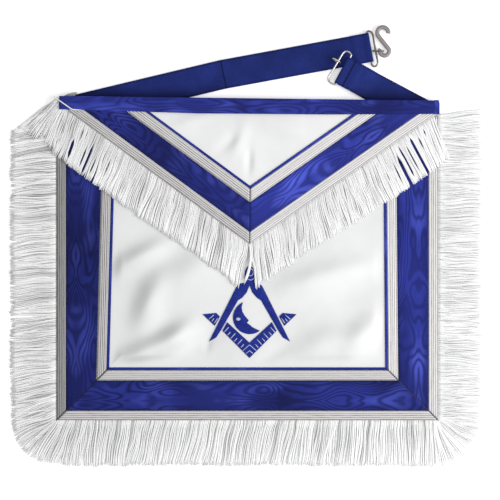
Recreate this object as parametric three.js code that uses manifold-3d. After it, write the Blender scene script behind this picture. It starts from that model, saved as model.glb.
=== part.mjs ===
// A fringed masonic apron lying flat, face up. Millimetres, +Z up out of the apron's face, +X to its right
// as seen, +Y towards the belt. The origin is the middle of the leather body's back face.
import * as THREE from "three";
import { mergeVertices } from "three/addons/utils/BufferGeometryUtils.js";
import Module from "manifold-3d";

const wasm = await Module();
wasm.setup();

// Driving sizes
const bodyWidth = 406; // between the outer edges of the side braids
const bodyHeight = 342; // from the top fold to the lower edge of the bottom braid, on the middle line
const topTurn = 0.7; // degrees that the top edge and the flap lie turned, right end down
const leatherWall = 1.3;
const trimWall = 1.0; // ribbon, braid and edging
const webWall = 1.3;
const layerGap = 0.3; // between stacked layers
const sideGap = 0.3; // between neighbours in one layer
const outerBraidWidth = 10;
const innerBraidWidth = 10.4;
const bodyRibbonWidth = 32;
const leftSplay = 1.2; // degrees that the left inner braid lies turned in towards its top
const rightSplay = 0.4;
const edgingWidth = 3;
const braidOverlap = 4; // how far the outer braid reaches past the leather
const riseRun = 40; // length of the slope up to the straps' height
const rightFringeDrop = 8; // the right fringe starts this far below the top fold
const fringeLength = 49;
const fringeTip = 0.9; // thickness of the fringe at its tips
const lockPitch = 8;
const notchShare = 0.16; // how deep the gaps between two locks reach, as a share of their length
const flapDepth = 154.7; // top edge to the outer braid's tip
const flapReach = 12.7; // the flap's slopes would meet the top edge this far outside the body
const flapShift = 4.2; // the flap's middle line lies this far right of the body's
const flapBraidWidth = 10.4;
const flapRibbonWidth = 25.3;
const flapInnerBraidWidth = 11.2;
const flapEdgingWidth = 2.6;
const bandHeight = 16.8; // the top band at its widest
const bandSlantCut = 15; // how far the band's left end slants in
const bandOverhang = 0.3;
const hemWidth = 5;
const hemRise = 0.8;
const webWidth = 31;
const wireRadius = 1.0;
const loopReach = 6.5; // between the middles of a wire loop's two bars
const tailLength = 15; // webbing folded back at each end
const longStrap = { rootInset: 4, lowerLength: 173, lowerAngle: 13.4, upperLength: 161, upperAngle: 10.4 };
const shortStrap = { rootInset: 6, length: 106, angle: 152, dropRun: 15 };
const hookWidth = 4.6;
const hookThickness = 3;
const hookCrookRadius = 5.9;
const hookEyeRadius = 4.8;
const hookLean = 1; // degrees that the hook lies turned
const hookDrop = 4.3; // the hook's eye lies this far below the strap's middle
const linkSlack = 2;
const linkWire = 0.7; // radius of the link's wire
const eyeRadius = 4.6;
const foldHeight = 1.1; // the highest fold of the white leather
const emblemHeight = 98;
const emblemWidth = 98;
const emblemGap = 0.5;
const emblemLift = 0.6; // thickness of the embroidery
const emblemClear = 9.9; // between the square's corner and the border's inner edge
const emblemShift = 2.4;

const degree = Math.PI / 180;
const bodyRight = bodyWidth / 2;
const bodyTop = bodyHeight / 2;
const turnSlope = Math.tan(topTurn * degree);
const topAt = (x) => bodyTop - x * turnSlope;

// Levels above the local ground, from the strap up to the band
const ground = webWall + trimWall + 2 * layerGap; // the body's height over the straps
const level = {
  bindingBack: -trimWall - layerGap,
  body: 0,
  bodyTrim: leatherWall + layerGap,
  flap: leatherWall + trimWall + 2 * layerGap,
  flapTrim: 2 * leatherWall + trimWall + 3 * layerGap,
  band: 2 * leatherWall + 2 * trimWall + 4 * layerGap,
};
const panelInset = 2 * (trimWall + sideGap); // top edges of the leather below the top fold
const bodyHalf = bodyRight - braidOverlap;

// Solids
function solidOf(geometry) {
  const bare = geometry.index ? geometry.toNonIndexed() : geometry.clone();
  bare.deleteAttribute("normal");
  bare.deleteAttribute("uv");
  const merged = mergeVertices(bare, 1e-4);
  return new wasm.Manifold(
    new wasm.Mesh({
      numProp: 3,
      vertProperties: merged.attributes.position.array,
      triVerts: new Uint32Array(merged.index.array),
    }),
  );
}

function geometryOf(solid) {
  const mesh = solid.getMesh();
  return new THREE.BufferGeometry()
    .setAttribute("position", new THREE.BufferAttribute(mesh.vertProperties, 3))
    .setIndex(new THREE.BufferAttribute(mesh.triVerts, 1));
}

const outline = (points) => new THREE.Shape(points.map(([x, y]) => new THREE.Vector2(x, y)));

// A flat outline in plan raised from one height to another
function prism(points, low, high) {
  const shape = points instanceof THREE.Shape ? points : outline(points);
  const geometry = new THREE.ExtrudeGeometry(shape, {
    depth: high - low,
    bevelEnabled: false,
    curveSegments: 8,
  });
  return solidOf(geometry.translate(0, 0, low));
}

// A box with a grid of faces whose corners are placed by a function of three shares
function shapedBox(across, along, up, place) {
  const box = new THREE.BoxGeometry(1, 1, 1, across, along, up);
  const at = box.attributes.position;
  for (let i = 0; i < at.count; i++) {
    at.setXYZ(i, ...place(at.getX(i) + 0.5, at.getY(i) + 0.5, at.getZ(i) + 0.5));
  }
  return solidOf(box);
}

// The ground under the apron: flat, then sloping up to lie over the straps
const riseClear = 4; // the slope ends this far below the band
const riseEnd = bodyTop - bandHeight - turnSlope * bodyRight - riseClear;
const riseShares = [0, 0.2, 0.4, 0.6, 0.8, 1];
const riseStations = riseShares.map((share) => ({
  y: riseEnd - riseRun * (1 - share),
  z: ground * (3 - 2 * share) * share * share,
}));

function rise(y) {
  const after = riseStations.findIndex((station) => y <= station.y);
  if (after < 0) return ground;
  if (after === 0) return 0;
  const a = riseStations[after - 1];
  const b = riseStations[after];
  return THREE.MathUtils.mapLinear(y, a.y, b.y, a.z, b.z);
}

// A sheet that follows the ground from low to high, cut to an outline in plan
const reach = bodyHeight;
const solidRange = 40;

function bentSheet(low, high) {
  const stations = [{ y: -reach, z: 0 }, ...riseStations, { y: reach, z: ground }];
  const side = [
    ...stations.map(({ y, z }) => [y, z + low]),
    ...[...stations].reverse().map(({ y, z }) => [y, z + high]),
  ];
  const geometry = new THREE.ExtrudeGeometry(outline(side), { depth: 2 * reach, bevelEnabled: false });
  geometry.applyMatrix4(
    new THREE.Matrix4().makeBasis(
      new THREE.Vector3(0, 1, 0),
      new THREE.Vector3(0, 0, 1),
      new THREE.Vector3(1, 0, 0),
    ),
  );
  return solidOf(geometry.translate(-reach, 0, 0));
}

const drape = (points, low, high) => bentSheet(low, high).intersect(prism(points, -solidRange, solidRange));

const group = new THREE.Group();

function add(name, finish, solid) {
  const mesh = new THREE.Mesh(geometryOf(solid), new THREE.MeshStandardMaterial(finish));
  mesh.name = name;
  group.add(mesh);
}

const white = { color: 0xf2f1ee, roughness: 0.6, metalness: 0 };
const thread = { color: 0xe9e8e6, roughness: 0.8, metalness: 0 };
const moire = { color: 0x262a82, roughness: 0.35, metalness: 0 };
const silver = { color: 0xc9c5c4, roughness: 0.45, metalness: 0.3 };
const edging = { color: 0x1c2168, roughness: 0.6, metalness: 0 };
const webbing = { color: 0x243076, roughness: 0.85, metalness: 0 };
const stitched = { color: 0x22329a, roughness: 0.5, metalness: 0 };
const nickel = { color: 0xb4b0ad, roughness: 0.3, metalness: 1 };

// Body: widths of the border strips, from the outer edge in
const bodyStrips = [
  { name: "outer_braid", finish: silver, width: outerBraidWidth },
  { name: "ribbon", finish: moire, width: bodyRibbonWidth },
  { name: "inner_braid", finish: silver, width: innerBraidWidth },
  { name: "inner_cord", finish: edging, width: edgingWidth },
];
const borderWidth = bodyStrips.reduce((sum, strip) => sum + strip.width + sideGap, 0);
const windowHalf = bodyRight - borderWidth;
const windowBottom = -bodyTop + borderWidth;
const emblemTip = windowBottom + emblemClear;

// Soft folds of the white leather: places and sizes are shares of the window's half width and height
const folds = [
  { x: -0.66, y: 0.36, along: 0.2, across: 0.055, turn: 82, height: 1.0 },
  { x: -0.83, y: 0.66, along: 0.22, across: 0.07, turn: 38, height: 0.6 },
  { x: -0.56, y: 0.13, along: 0.24, across: 0.06, turn: 36, height: 0.9 },
  { x: -0.42, y: 0.06, along: 0.12, across: 0.045, turn: 52, height: 0.55 },
  { x: 0.62, y: 0.52, along: 0.34, across: 0.09, turn: 14, height: 0.45 },
  { x: 0.66, y: 0.22, along: 0.3, across: 0.08, turn: 24, height: 0.5 },
  { x: 0.55, y: 0.06, along: 0.16, across: 0.06, turn: 38, height: 0.35 },
];
const windowHeight = bodyTop - bandHeight - windowBottom;

function foldAt(x, y) {
  const edge = Math.min(windowHalf - Math.abs(x), y - windowBottom, riseStations[0].y - y);
  const wide = Math.abs(x - emblemShift) / (0.62 * emblemWidth);
  const tall = (y - emblemTip - emblemHeight / 2) / (0.66 * emblemHeight);
  const flat = Math.max(wide, Math.abs(tall));
  const open = THREE.MathUtils.smoothstep(edge, 2, 20) * THREE.MathUtils.smoothstep(flat, 1, 1.2);
  let height = 0;
  for (const fold of folds) {
    const dx = x - fold.x * windowHalf;
    const dy = y - windowBottom - fold.y * windowHeight;
    const cos = Math.cos(fold.turn * degree);
    const sin = Math.sin(fold.turn * degree);
    const along = (dx * cos + dy * sin) / (fold.along * windowHalf);
    const across = (dy * cos - dx * sin) / (fold.across * windowHalf);
    height += fold.height * Math.exp(-along * along - across * across);
  }
  return open * foldHeight * Math.min(height, 1);
}

const panelColumns = 24;
const windowRows = 15;
const columnAt = (share) => (2 * share - 1) * bodyHalf;
const panelRows = [-bodyTop + braidOverlap, windowBottom];
for (let i = 1; i <= windowRows; i++) {
  panelRows.push(THREE.MathUtils.lerp(windowBottom, riseStations[0].y, i / windowRows));
}
riseStations.slice(1).forEach((station) => panelRows.push(station.y));

add(
  "body_panel",
  white,
  shapedBox(panelColumns, panelRows.length, 1, (u, v, w) => {
    const row = Math.round(v * panelRows.length);
    const x = columnAt(u);
    const y = row < panelRows.length ? panelRows[row] : topAt(x) - panelInset;
    return [x, y, rise(y) + foldAt(x, y) + w * leatherWall];
  }),
);

// Strips of the body's border; their upper ends stop below the binding
const trimTop = (x) => topAt(x) - bandHeight;

function sideStrip(side, from, to) {
  const splay = Math.tan((side < 0 ? leftSplay : rightSplay) * degree) * bodyHeight;
  const outerTop = side * (bodyRight - from - (from > outerBraidWidth + sideGap ? splay : 0));
  const innerTop = side * (bodyRight - to - (to > outerBraidWidth ? splay : 0));
  return [
    [outerTop, trimTop(outerTop)],
    [innerTop, trimTop(innerTop)],
    [side * (bodyRight - to), -bodyTop + to + sideGap],
    [side * (bodyRight - from), -bodyTop + from + sideGap],
  ];
}

function bottomStrip(from, to) {
  return [
    [-bodyRight + from + sideGap, -bodyTop + from],
    [bodyRight - from - sideGap, -bodyTop + from],
    [bodyRight - to - sideGap, -bodyTop + to],
    [-bodyRight + to + sideGap, -bodyTop + to],
  ];
}

let stripStart = 0;
for (const strip of bodyStrips) {
  const from = stripStart;
  const to = stripStart + strip.width;
  const low = level.bodyTrim;
  const high = low + trimWall;
  add(strip.name + "_left", strip.finish, drape(sideStrip(-1, from, to), low, high));
  add(strip.name + "_bottom", strip.finish, drape(bottomStrip(from, to), low, high));
  add(strip.name + "_right", strip.finish, drape(sideStrip(1, from, to), low, high));
  stripStart = to + sideGap;
}

// A fringe: stations along its head, each with a root, a direction and its inner head point. The locks
// end between the stations, and the gaps between two locks lie at the stations
function tipBetween(a, b) {
  const length = fringeLength * (a === b ? 1 - notchShare : 1);
  return [0, 1].map((i) => (a.root[i] + b.root[i]) / 2 + ((a.way[i] + b.way[i]) / 2) * length);
}

// A fringe whose locks fall from the leather's height to the floor
function floorFringe(stations) {
  const columns = 2 * (stations.length - 1);
  return shapedBox(columns, 2, 1, (u, v, w) => {
    const column = Math.round(u * columns);
    const a = stations[Math.floor(column / 2)];
    const b = stations[Math.ceil(column / 2)];
    const row = Math.round(v * 2);
    if (row === 0) return [...tipBetween(a, b), w * fringeTip];
    const end = row === 1 ? "root" : "head";
    const [x, y] = [0, 1].map((i) => (a[end][i] + b[end][i]) / 2);
    return [x, y, rise(y) + w * leatherWall];
  });
}

// A fringe that lies over the body at one height above it
function drapedFringe(stations, low) {
  const points = stations.map((station) => station.head);
  stations.forEach((_, k) => {
    const a = stations[stations.length - 1 - k];
    const b = stations[stations.length - 2 - k];
    points.push(tipBetween(a, a));
    if (b) points.push(tipBetween(a, b));
  });
  return drape(points, low, low + leatherWall);
}

// The value of a table with columns at and lean, at a share along the head
function leanAt(table, share) {
  const after = table.findIndex((row) => share <= row.at);
  if (after <= 0) return table[Math.max(after, 0)].lean;
  const a = table[after - 1];
  const b = table[after];
  return THREE.MathUtils.mapLinear(share, a.at, b.at, a.lean, b.lean);
}

// Evenly spaced stations along a straight head, leaning in plan by a table of angles
function headStations(from, to, inner, base, table) {
  const run = Math.hypot(to[0] - from[0], to[1] - from[1]);
  const count = Math.max(2, Math.round(run / lockPitch));
  const stations = [];
  for (let i = 0; i <= count; i++) {
    const share = i / count;
    const root = [0, 1].map((k) => THREE.MathUtils.lerp(from[k], to[k], share));
    const angle = (base + leanAt(table, share)) * degree;
    stations.push({
      root,
      head: [root[0] + inner[0], root[1] + inner[1]],
      way: [Math.cos(angle), Math.sin(angle)],
    });
  }
  return stations;
}

// Stations that fan round a corner of the leather
function fanStations(corner, from, to, count) {
  const stations = [];
  for (let i = 1; i <= count; i++) {
    const angle = THREE.MathUtils.lerp(from, to, i / count) * degree;
    const way = [Math.cos(angle), Math.sin(angle)];
    stations.push({
      root: [corner[0] + way[0] * braidOverlap, corner[1] + way[1] * braidOverlap],
      head: [corner[0] + way[0] * sideGap * 2, corner[1] + way[1] * sideGap * 2],
      way,
    });
  }
  return stations;
}

// Leans in degrees along each head, from its first end to its last
const leftLeans = [
  { at: 0, lean: 46 },
  { at: 0.05, lean: 34 },
  { at: 0.12, lean: 18 },
  { at: 0.22, lean: 7 },
  { at: 0.5, lean: 4 },
  { at: 1, lean: 3 },
];
const rightLeans = [
  { at: 0, lean: 9 },
  { at: 0.06, lean: 3 },
  { at: 0.3, lean: 0 },
  { at: 1, lean: -3 },
];
const bottomLeans = [
  { at: 0, lean: -3 },
  { at: 0.06, lean: -9 },
  { at: 0.3, lean: -13 },
  { at: 0.65, lean: -11 },
  { at: 0.9, lean: -3 },
  { at: 1, lean: 1 },
];
const fanCount = 5;
const fanGap = 0.4; // degrees between the two fringes that share a corner
const headInset = braidOverlap - sideGap;
const cornerLeft = [-bodyHalf, -bodyTop + braidOverlap];
const cornerRight = [bodyHalf, -bodyTop + braidOverlap];

const leftFringe = [
  ...headStations(
    [-bodyRight, topAt(-bodyRight) - panelInset],
    [-bodyRight, cornerLeft[1]],
    [headInset, 0],
    180,
    leftLeans,
  ),
  ...fanStations(cornerLeft, 183, 225 - fanGap, fanCount),
];
const rightFringe = [
  ...fanStations(cornerRight, 357, 315 + fanGap, fanCount).reverse(),
  ...headStations(
    [bodyRight, topAt(bodyRight) - rightFringeDrop],
    [bodyRight, cornerRight[1]],
    [-headInset, 0],
    0,
    rightLeans,
  ).reverse(),
];
const bottomFringe = [
  ...fanStations(cornerLeft, 267, 225 + fanGap, fanCount).reverse(),
  ...headStations(
    [cornerLeft[0], -bodyTop],
    [cornerRight[0], -bodyTop],
    [0, headInset],
    270,
    bottomLeans,
  ),
  ...fanStations(cornerRight, 271, 315 - fanGap, fanCount),
];
add("fringe_left", thread, floorFringe(leftFringe));
add("fringe_bottom", thread, floorFringe(bottomFringe));
add("fringe_right", thread, floorFringe(rightFringe));

// The flap, laid out about its own middle line, then turned with the top edge
const flapSlope = flapDepth / (bodyRight + flapReach);
const flapAngle = Math.atan(flapSlope) / degree;
const flapPoint = ([u, v]) => {
  const cos = Math.cos(topTurn * degree);
  const sin = Math.sin(topTurn * degree);
  return [(u + flapShift) * cos + v * sin, bodyTop - (u + flapShift) * sin + v * cos];
};
const flapTip = (inset) => -flapDepth + inset / Math.cos(flapAngle * degree);
const flapTopOut = (inset) => -flapTip(inset) / flapSlope;
const bandLeft = -bodyHalf - flapShift - bandOverhang;
const bandRight = bodyRight - flapShift;
const bandEndHeight = 0.85 * bandHeight;
const slantLow = [bandLeft + bandSlantCut, -bandEndHeight];

// What the flap's layers keep inside: right of the slanting end, and inside the band's right end
const flapLimit = prism(
  [
    slantLow,
    [bandLeft - reach, slantLow[1]],
    [bandLeft - reach, -reach],
    [bodyHalf - flapShift, -reach],
    [bodyHalf - flapShift, -panelInset],
    [bandLeft + (bandSlantCut * panelInset) / bandEndHeight, -panelInset],
  ].map(flapPoint),
  -solidRange,
  solidRange,
);

function flapStrip(side, from, to) {
  const seam = side * (sideGap / 2);
  const line = (inset) => [seam, flapTip(inset) + (sideGap / 2) * flapSlope];
  return [line(from), [side * flapTopOut(from), 0], [side * flapTopOut(to), 0], line(to)].map(flapPoint);
}

const flapOutline = [
  [-flapTopOut(braidOverlap), 0],
  [0, flapTip(braidOverlap)],
  [flapTopOut(braidOverlap), 0],
].map(flapPoint);
add(
  "flap_panel",
  white,
  drape(flapOutline, level.flap, level.flap + leatherWall).intersect(flapLimit),
);

const flapStrips = [
  { name: "flap_outer_braid", finish: silver, width: flapBraidWidth },
  { name: "flap_ribbon", finish: moire, width: flapRibbonWidth },
  { name: "flap_inner_braid", finish: silver, width: flapInnerBraidWidth },
  { name: "flap_inner_cord", finish: edging, width: flapEdgingWidth },
];
stripStart = 0;
for (const strip of flapStrips) {
  const from = stripStart;
  const to = from + strip.width;
  for (const [end, side] of [["left", -1], ["right", 1]]) {
    const solid = drape(flapStrip(side, from, to), level.flapTrim, level.flapTrim + trimWall);
    add(strip.name + "_" + end, strip.finish, solid.intersect(flapLimit));
  }
  stripStart = to + sideGap;
}

// Flap fringes; the leans are from straight down, outwards
const flapLeftLeans = [
  { at: 0, lean: 14 },
  { at: 0.2, lean: 24 },
  { at: 0.5, lean: 18 },
  { at: 0.8, lean: 9 },
  { at: 1, lean: 2 },
];
const flapRightLeans = [
  { at: 0, lean: 8 },
  { at: 0.15, lean: 25 },
  { at: 0.5, lean: 18 },
  { at: 0.8, lean: 8 },
  { at: 1, lean: 2 },
];

function flapFringe(side, leans, endOut) {
  const normal = [side * Math.sin(flapAngle * degree), -Math.cos(flapAngle * degree)];
  const along = (u) => [side * u, flapTip(0) + u * flapSlope];
  const from = flapPoint(along(endOut));
  const to = flapPoint(along(sideGap));
  const zero = flapPoint([0, 0]);
  const inward = flapPoint([-normal[0] * headInset, -normal[1] * headInset]);
  const inner = [inward[0] - zero[0], inward[1] - zero[1]];
  const table = leans.map(({ at, lean }) => ({ at, lean: side * lean }));
  const stations = headStations(from, to, inner, 270, table);
  return side > 0 ? stations.reverse() : stations;
}

const leftEnd = (flapDepth + slantLow[1] - sideGap) / flapSlope;
const rightEnd = bodyHalf - flapShift - 1;
const headerWidth = 1.3;
const header = prism(
  [
    [bandLeft - headerWidth, 0],
    [bandLeft - 2 * sideGap, 0],
    [slantLow[0] - 2 * sideGap, slantLow[1] - sideGap],
    [slantLow[0] - 2 * sideGap, slantLow[1] - headerWidth],
    [slantLow[0] - headerWidth, slantLow[1] - headerWidth],
  ].map(flapPoint),
  ground + level.flap,
  ground + level.flap + leatherWall,
);
const flapHalf = (side) =>
  prism(
    [
      [(side * sideGap) / 2, -panelInset],
      [side * reach, -panelInset],
      [side * reach, -reach],
      [(side * sideGap) / 2, -reach],
    ].map(flapPoint),
    -solidRange,
    solidRange,
  );
const leftFlapFringe = drapedFringe(flapFringe(-1, flapLeftLeans, leftEnd), level.flap);
const rightFlapFringe = drapedFringe(flapFringe(1, flapRightLeans, rightEnd), level.flap);
add("flap_fringe_left", thread, leftFlapFringe.add(header).intersect(flapHalf(-1)));
add("flap_fringe_right", thread, rightFlapFringe.intersect(flapHalf(1)));

// Binding of the body's top edge: a back wall, a front wall and the fold between them
const bindingEdge = bodyHalf + bandOverhang;

function topStrip(left, right, from, to) {
  return [
    [left, topAt(left) - from],
    [left, topAt(left) - to],
    [right, topAt(right) - to],
    [right, topAt(right) - from],
  ];
}

const foldInner = trimWall + sideGap; // the binding's fold lies inside the band's
const bindingWall = (low, to) =>
  drape(topStrip(-bindingEdge, bindingEdge, foldInner, to), low, low + trimWall);
const bindingFold = drape(
  topStrip(-bindingEdge, bindingEdge, foldInner, foldInner + trimWall),
  level.bindingBack,
  level.bodyTrim + trimWall,
);
add(
  "body_binding",
  moire,
  bindingWall(level.bindingBack, bandHeight - sideGap)
    .add(bindingWall(level.bodyTrim, bandEndHeight))
    .add(bindingFold),
);

// The top band: its lower edge as shares of the body's width and of the band's height
const bandEdge = [
  { at: -0.3, height: 0.93 },
  { at: -0.14, height: 1 },
  { at: 0.2, height: 0.97 },
];
const hemLeft = bandRight - hemWidth;
const bandOutline = [
  [bandLeft, 0],
  slantLow,
  ...bandEdge.map(({ at, height }) => [at * bodyWidth, -height * bandHeight]),
  [bandRight, -bandEndHeight],
  [bandRight, 0],
];
const hemStep = 0.4; // the folded end stands this far past the band's two edges
const hemFlare = 0.8;
const hemNotch = { width: 1.6, depth: 1.8 };
const hemOutline = [
  [hemLeft, hemStep],
  [hemLeft, -bandEndHeight - hemStep],
  [bandRight, -bandEndHeight - hemStep],
  [bandRight + hemFlare, -hemNotch.depth],
  [bandRight - hemNotch.width, -hemNotch.depth],
  [bandRight - hemNotch.width, hemStep],
];
const bandTop = level.band + trimWall;
const bandFront = drape(bandOutline.map(flapPoint), level.band, bandTop);
const bandFold = drape(
  [[bandLeft, 0], [bandLeft + trimWall, -trimWall], [bandRight, -trimWall], [bandRight, 0]].map(flapPoint),
  level.bindingBack,
  bandTop,
);
const bandHem = drape(hemOutline.map(flapPoint), level.band, bandTop + hemRise);
add("top_band", moire, bandFront.add(bandFold).add(bandHem));

// Straps: a side profile swept over the width, then laid along a path in plan
const eyeBore = wireRadius + sideGap;
const eyeOuter = eyeBore + webWall;
const eyeHeight = eyeOuter; // the wire's middle over the strap's own ground
const eyeMouth = 3; // straight run of the webbing behind the eye
const settleRun = 8; // length in which the upper layer comes down past the tail

// Profile in length s, measured back from the folded end, and height; lay gives the ground at s
function strapProfile(length, lay, breaks) {
  const shape = new THREE.Shape();
  const upper = webWall + sideGap; // underside of the layer over the tail
  const settle = tailLength + settleRun;
  const stops = [...breaks.filter((s) => s > settle), length];
  shape.moveTo(tailLength, lay(tailLength));
  shape.lineTo(tailLength, lay(tailLength) + webWall);
  shape.lineTo(eyeOuter, lay(0) + webWall);
  shape.absarc(eyeOuter, lay(0) + eyeHeight, eyeBore, -90 * degree, 90 * degree, true);
  shape.lineTo(eyeOuter + eyeMouth, lay(0) + upper + sideGap);
  shape.lineTo(tailLength + 1, lay(tailLength) + upper);
  shape.lineTo(settle, lay(settle));
  stops.forEach((s) => shape.lineTo(s, lay(s)));
  [...stops].reverse().forEach((s) => shape.lineTo(s, lay(s) + webWall));
  shape.lineTo(settle, lay(settle) + webWall);
  shape.lineTo(tailLength + 1, lay(tailLength) + upper + webWall);
  shape.lineTo(eyeOuter + eyeMouth, lay(0) + upper + webWall + sideGap);
  shape.absarc(eyeOuter, lay(0) + eyeHeight, eyeOuter, 90 * degree, 270 * degree, false);
  return shape;
}

// Plan points from the folded end back to the root, with the strap's way at each
function layStrap(shape, path) {
  const geometry = new THREE.ExtrudeGeometry(shape, {
    depth: webWidth,
    bevelEnabled: false,
    curveSegments: 5,
  });
  const at = geometry.attributes.position;
  for (let i = 0; i < at.count; i++) {
    const { x, y, normal } = planAt(path, at.getX(i));
    const side = at.getZ(i) - webWidth / 2;
    at.setXYZ(i, x + side * normal[0], y + side * normal[1], at.getY(i));
  }
  return solidOf(geometry);
}

function planAt(path, s) {
  let i = 0;
  while (i < path.length - 2 && s > path[i + 1].s + 1e-6) i++;
  const a = path[i];
  const b = path[i + 1];
  const share = (s - a.s) / (b.s - a.s);
  const mix = (p, q) => THREE.MathUtils.lerp(p, q, share);
  return {
    x: mix(a.x, b.x),
    y: mix(a.y, b.y),
    normal: [mix(a.normal[0], b.normal[0]), mix(a.normal[1], b.normal[1])],
  };
}

const sideways = (angle) => [Math.sin(angle * degree), -Math.cos(angle * degree)];
const step = (point, angle, length) => ({
  x: point.x + length * Math.cos(angle * degree),
  y: point.y + length * Math.sin(angle * degree),
});

// Straps end inside the band, against its lower edge
const overBandEdge = prism(
  [
    [-reach, topAt(-reach) - bandEndHeight],
    [reach, topAt(reach) - bandEndHeight],
    [reach, topAt(reach) + reach],
    [-reach, topAt(-reach) + reach],
  ],
  -solidRange,
  solidRange,
);

const longRoot = {
  x: -bodyHalf + longStrap.rootInset,
  y: topAt(-bodyHalf) - bandHeight,
};
const longBend = step(longRoot, longStrap.lowerAngle, longStrap.lowerLength);
const longEnd = step(longBend, longStrap.upperAngle, longStrap.upperLength);
const longBack = longStrap.upperAngle + 180;
const longPath = [
  { s: 0, ...longEnd, normal: sideways(longBack) },
  {
    s: longStrap.upperLength,
    ...longBend,
    normal: sideways((longStrap.upperAngle + longStrap.lowerAngle) / 2 + 180),
  },
  {
    s: longStrap.upperLength + longStrap.lowerLength,
    ...longRoot,
    normal: sideways(longStrap.lowerAngle + 180),
  },
];
const flatLay = () => 0;
add(
  "long_strap",
  webbing,
  layStrap(
    strapProfile(longStrap.upperLength + longStrap.lowerLength, flatLay, [longStrap.upperLength]),
    longPath,
  ).intersect(overBandEdge),
);

// The short strap's end lies over the long strap and its loop, and comes down before it meets the band
const linkHeight = 0.1; // lowest point of the link
const linkInside = linkHeight + 2 * linkWire + sideGap; // what the link holds lies above this
const longBar = linkInside + wireRadius;
const crossing = longBar + wireRadius + layerGap;
const shortRoot = {
  x: bodyHalf - shortStrap.rootInset,
  y: topAt(bodyHalf) - bandHeight,
};
const shortEnd = step(shortRoot, shortStrap.angle, shortStrap.length);
const shortBack = shortStrap.angle + 180;
const shortSide = sideways(shortBack);
const lowerCorner = {
  x: shortEnd.x + (shortSide[0] * webWidth) / 2,
  y: shortEnd.y + (shortSide[1] * webWidth) / 2,
};
const downPerLength = -Math.sin(shortBack * degree) - turnSlope * Math.cos(shortBack * degree);
const meetsBand = (lowerCorner.y - topAt(lowerCorner.x)) / downPerLength;
const dropStart = meetsBand - shortStrap.dropRun;
const shortLay = (s) => crossing * (1 - THREE.MathUtils.smoothstep(s, dropStart, meetsBand));
const shortPath = [
  { s: 0, ...shortEnd, normal: shortSide },
  { s: shortStrap.length, ...shortRoot, normal: shortSide },
];
const dropBreaks = [0, 0.25, 0.5, 0.75, 1].map((share) => dropStart + share * shortStrap.dropRun);
add(
  "short_strap",
  webbing,
  layStrap(strapProfile(shortStrap.length, shortLay, dropBreaks), shortPath).intersect(overBandEdge),
);

// A closed wire along a curve: a torus whose rings are moved to the curve
function closedWire(curve, radius, steps, sides) {
  const torus = new THREE.TorusGeometry(1, 0.5, sides, steps);
  const at = torus.attributes.position;
  const frames = curve.computeFrenetFrames(steps, true);
  for (let ring = 0; ring <= sides; ring++) {
    for (let i = 0; i <= steps; i++) {
      const index = ring * (steps + 1) + i;
      const turn = (ring / sides) * 2 * Math.PI;
      const k = i % steps;
      const place = curve.getPointAt(k / steps);
      place.addScaledVector(frames.normals[k], radius * Math.cos(turn));
      place.addScaledVector(frames.binormals[k], radius * Math.sin(turn));
      at.setXYZ(index, place.x, place.y, place.z);
    }
  }
  const solid = solidOf(torus);
  return solid.volume() > 0 ? solid : solidOf(flipped(torus));
}

function flipped(geometry) {
  const bare = geometry.toNonIndexed();
  const at = bare.attributes.position;
  for (let i = 0; i < at.count; i += 3) {
    const a = new THREE.Vector3().fromBufferAttribute(at, i);
    const b = new THREE.Vector3().fromBufferAttribute(at, i + 1);
    at.setXYZ(i, b.x, b.y, b.z);
    at.setXYZ(i + 1, a.x, a.y, a.z);
  }
  return bare;
}

// A rectangular loop of wire through a strap's eye: the inner bar lies in the eye, the outer bar beyond
// the folded end, and drops to its own height there
const loopSteps = 40;
const loopSides = 6;
const loopCorner = 2.4;
const cornerEase = 0.55; // rounds the loop's corners
const barHalf = webWidth / 2 + 1;
const longSlide = -1.9; // how far each loop lies slid along its eye
const shortSlide = -1.3;

function strapLoop(end, back, low, outerHeight, reaches, slide) {
  const along = [Math.cos(back * degree), Math.sin(back * degree)];
  const normal = sideways(back);
  const points = [];
  const put = (s, side, z) => {
    const [x, y] = [0, 1].map((i) => along[i] * s + normal[i] * (side + slide));
    points.push(new THREE.Vector3(end.x + x, end.y + y, z));
  };
  const innerZ = low + eyeHeight;
  const ends = [
    { side: 1, out: eyeOuter - reaches[1] },
    { side: -1, out: eyeOuter - reaches[0] },
  ];
  [-1, -0.5, 0, 0.5, 1].forEach((share) => put(eyeOuter, share * barHalf, innerZ));
  for (const { side, out } of ends) {
    const place = [
      { s: eyeOuter - cornerEase, w: barHalf + loopCorner - cornerEase, z: innerZ },
      { s: (eyeOuter + out) / 2, w: barHalf + loopCorner, z: (innerZ + outerHeight) / 2 },
      { s: out + cornerEase, w: barHalf + loopCorner - cornerEase, z: outerHeight },
    ];
    if (side < 0) place.reverse();
    place.forEach(({ s, w, z }) => put(s, side * w, z));
    if (side > 0) {
      const far = eyeOuter - reaches[0];
      [1, 0.5, 0, -0.5, -1].forEach((share) =>
        put(THREE.MathUtils.lerp(far, out, (share + 1) / 2), share * barHalf, outerHeight));
    }
  }
  const curve = new THREE.CatmullRomCurve3(points, true, "centripetal");
  return closedWire(curve, wireRadius, loopSteps, loopSides);
}

const longReaches = [loopReach, loopReach];
const shortReaches = [loopReach + 2.2, loopReach + 4]; // of the short loop's upper and lower end
const shortBar = crossing + eyeHeight;
add("long_loop", nickel, strapLoop(longEnd, longBack, 0, longBar, longReaches, longSlide));
add(
  "short_loop",
  nickel,
  strapLoop(shortEnd, shortBack, crossing, shortBar, shortReaches, shortSlide),
);

// A round ring standing on edge, with its plane's way in plan given as an angle
function standingRing(x, y, z, angle, ringRadius, wire, steps, sides) {
  const ring = new THREE.TorusGeometry(ringRadius, wire, sides, steps);
  ring.rotateX(90 * degree).rotateZ(angle * degree).translate(x, y, z);
  return solidOf(ring);
}

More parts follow.
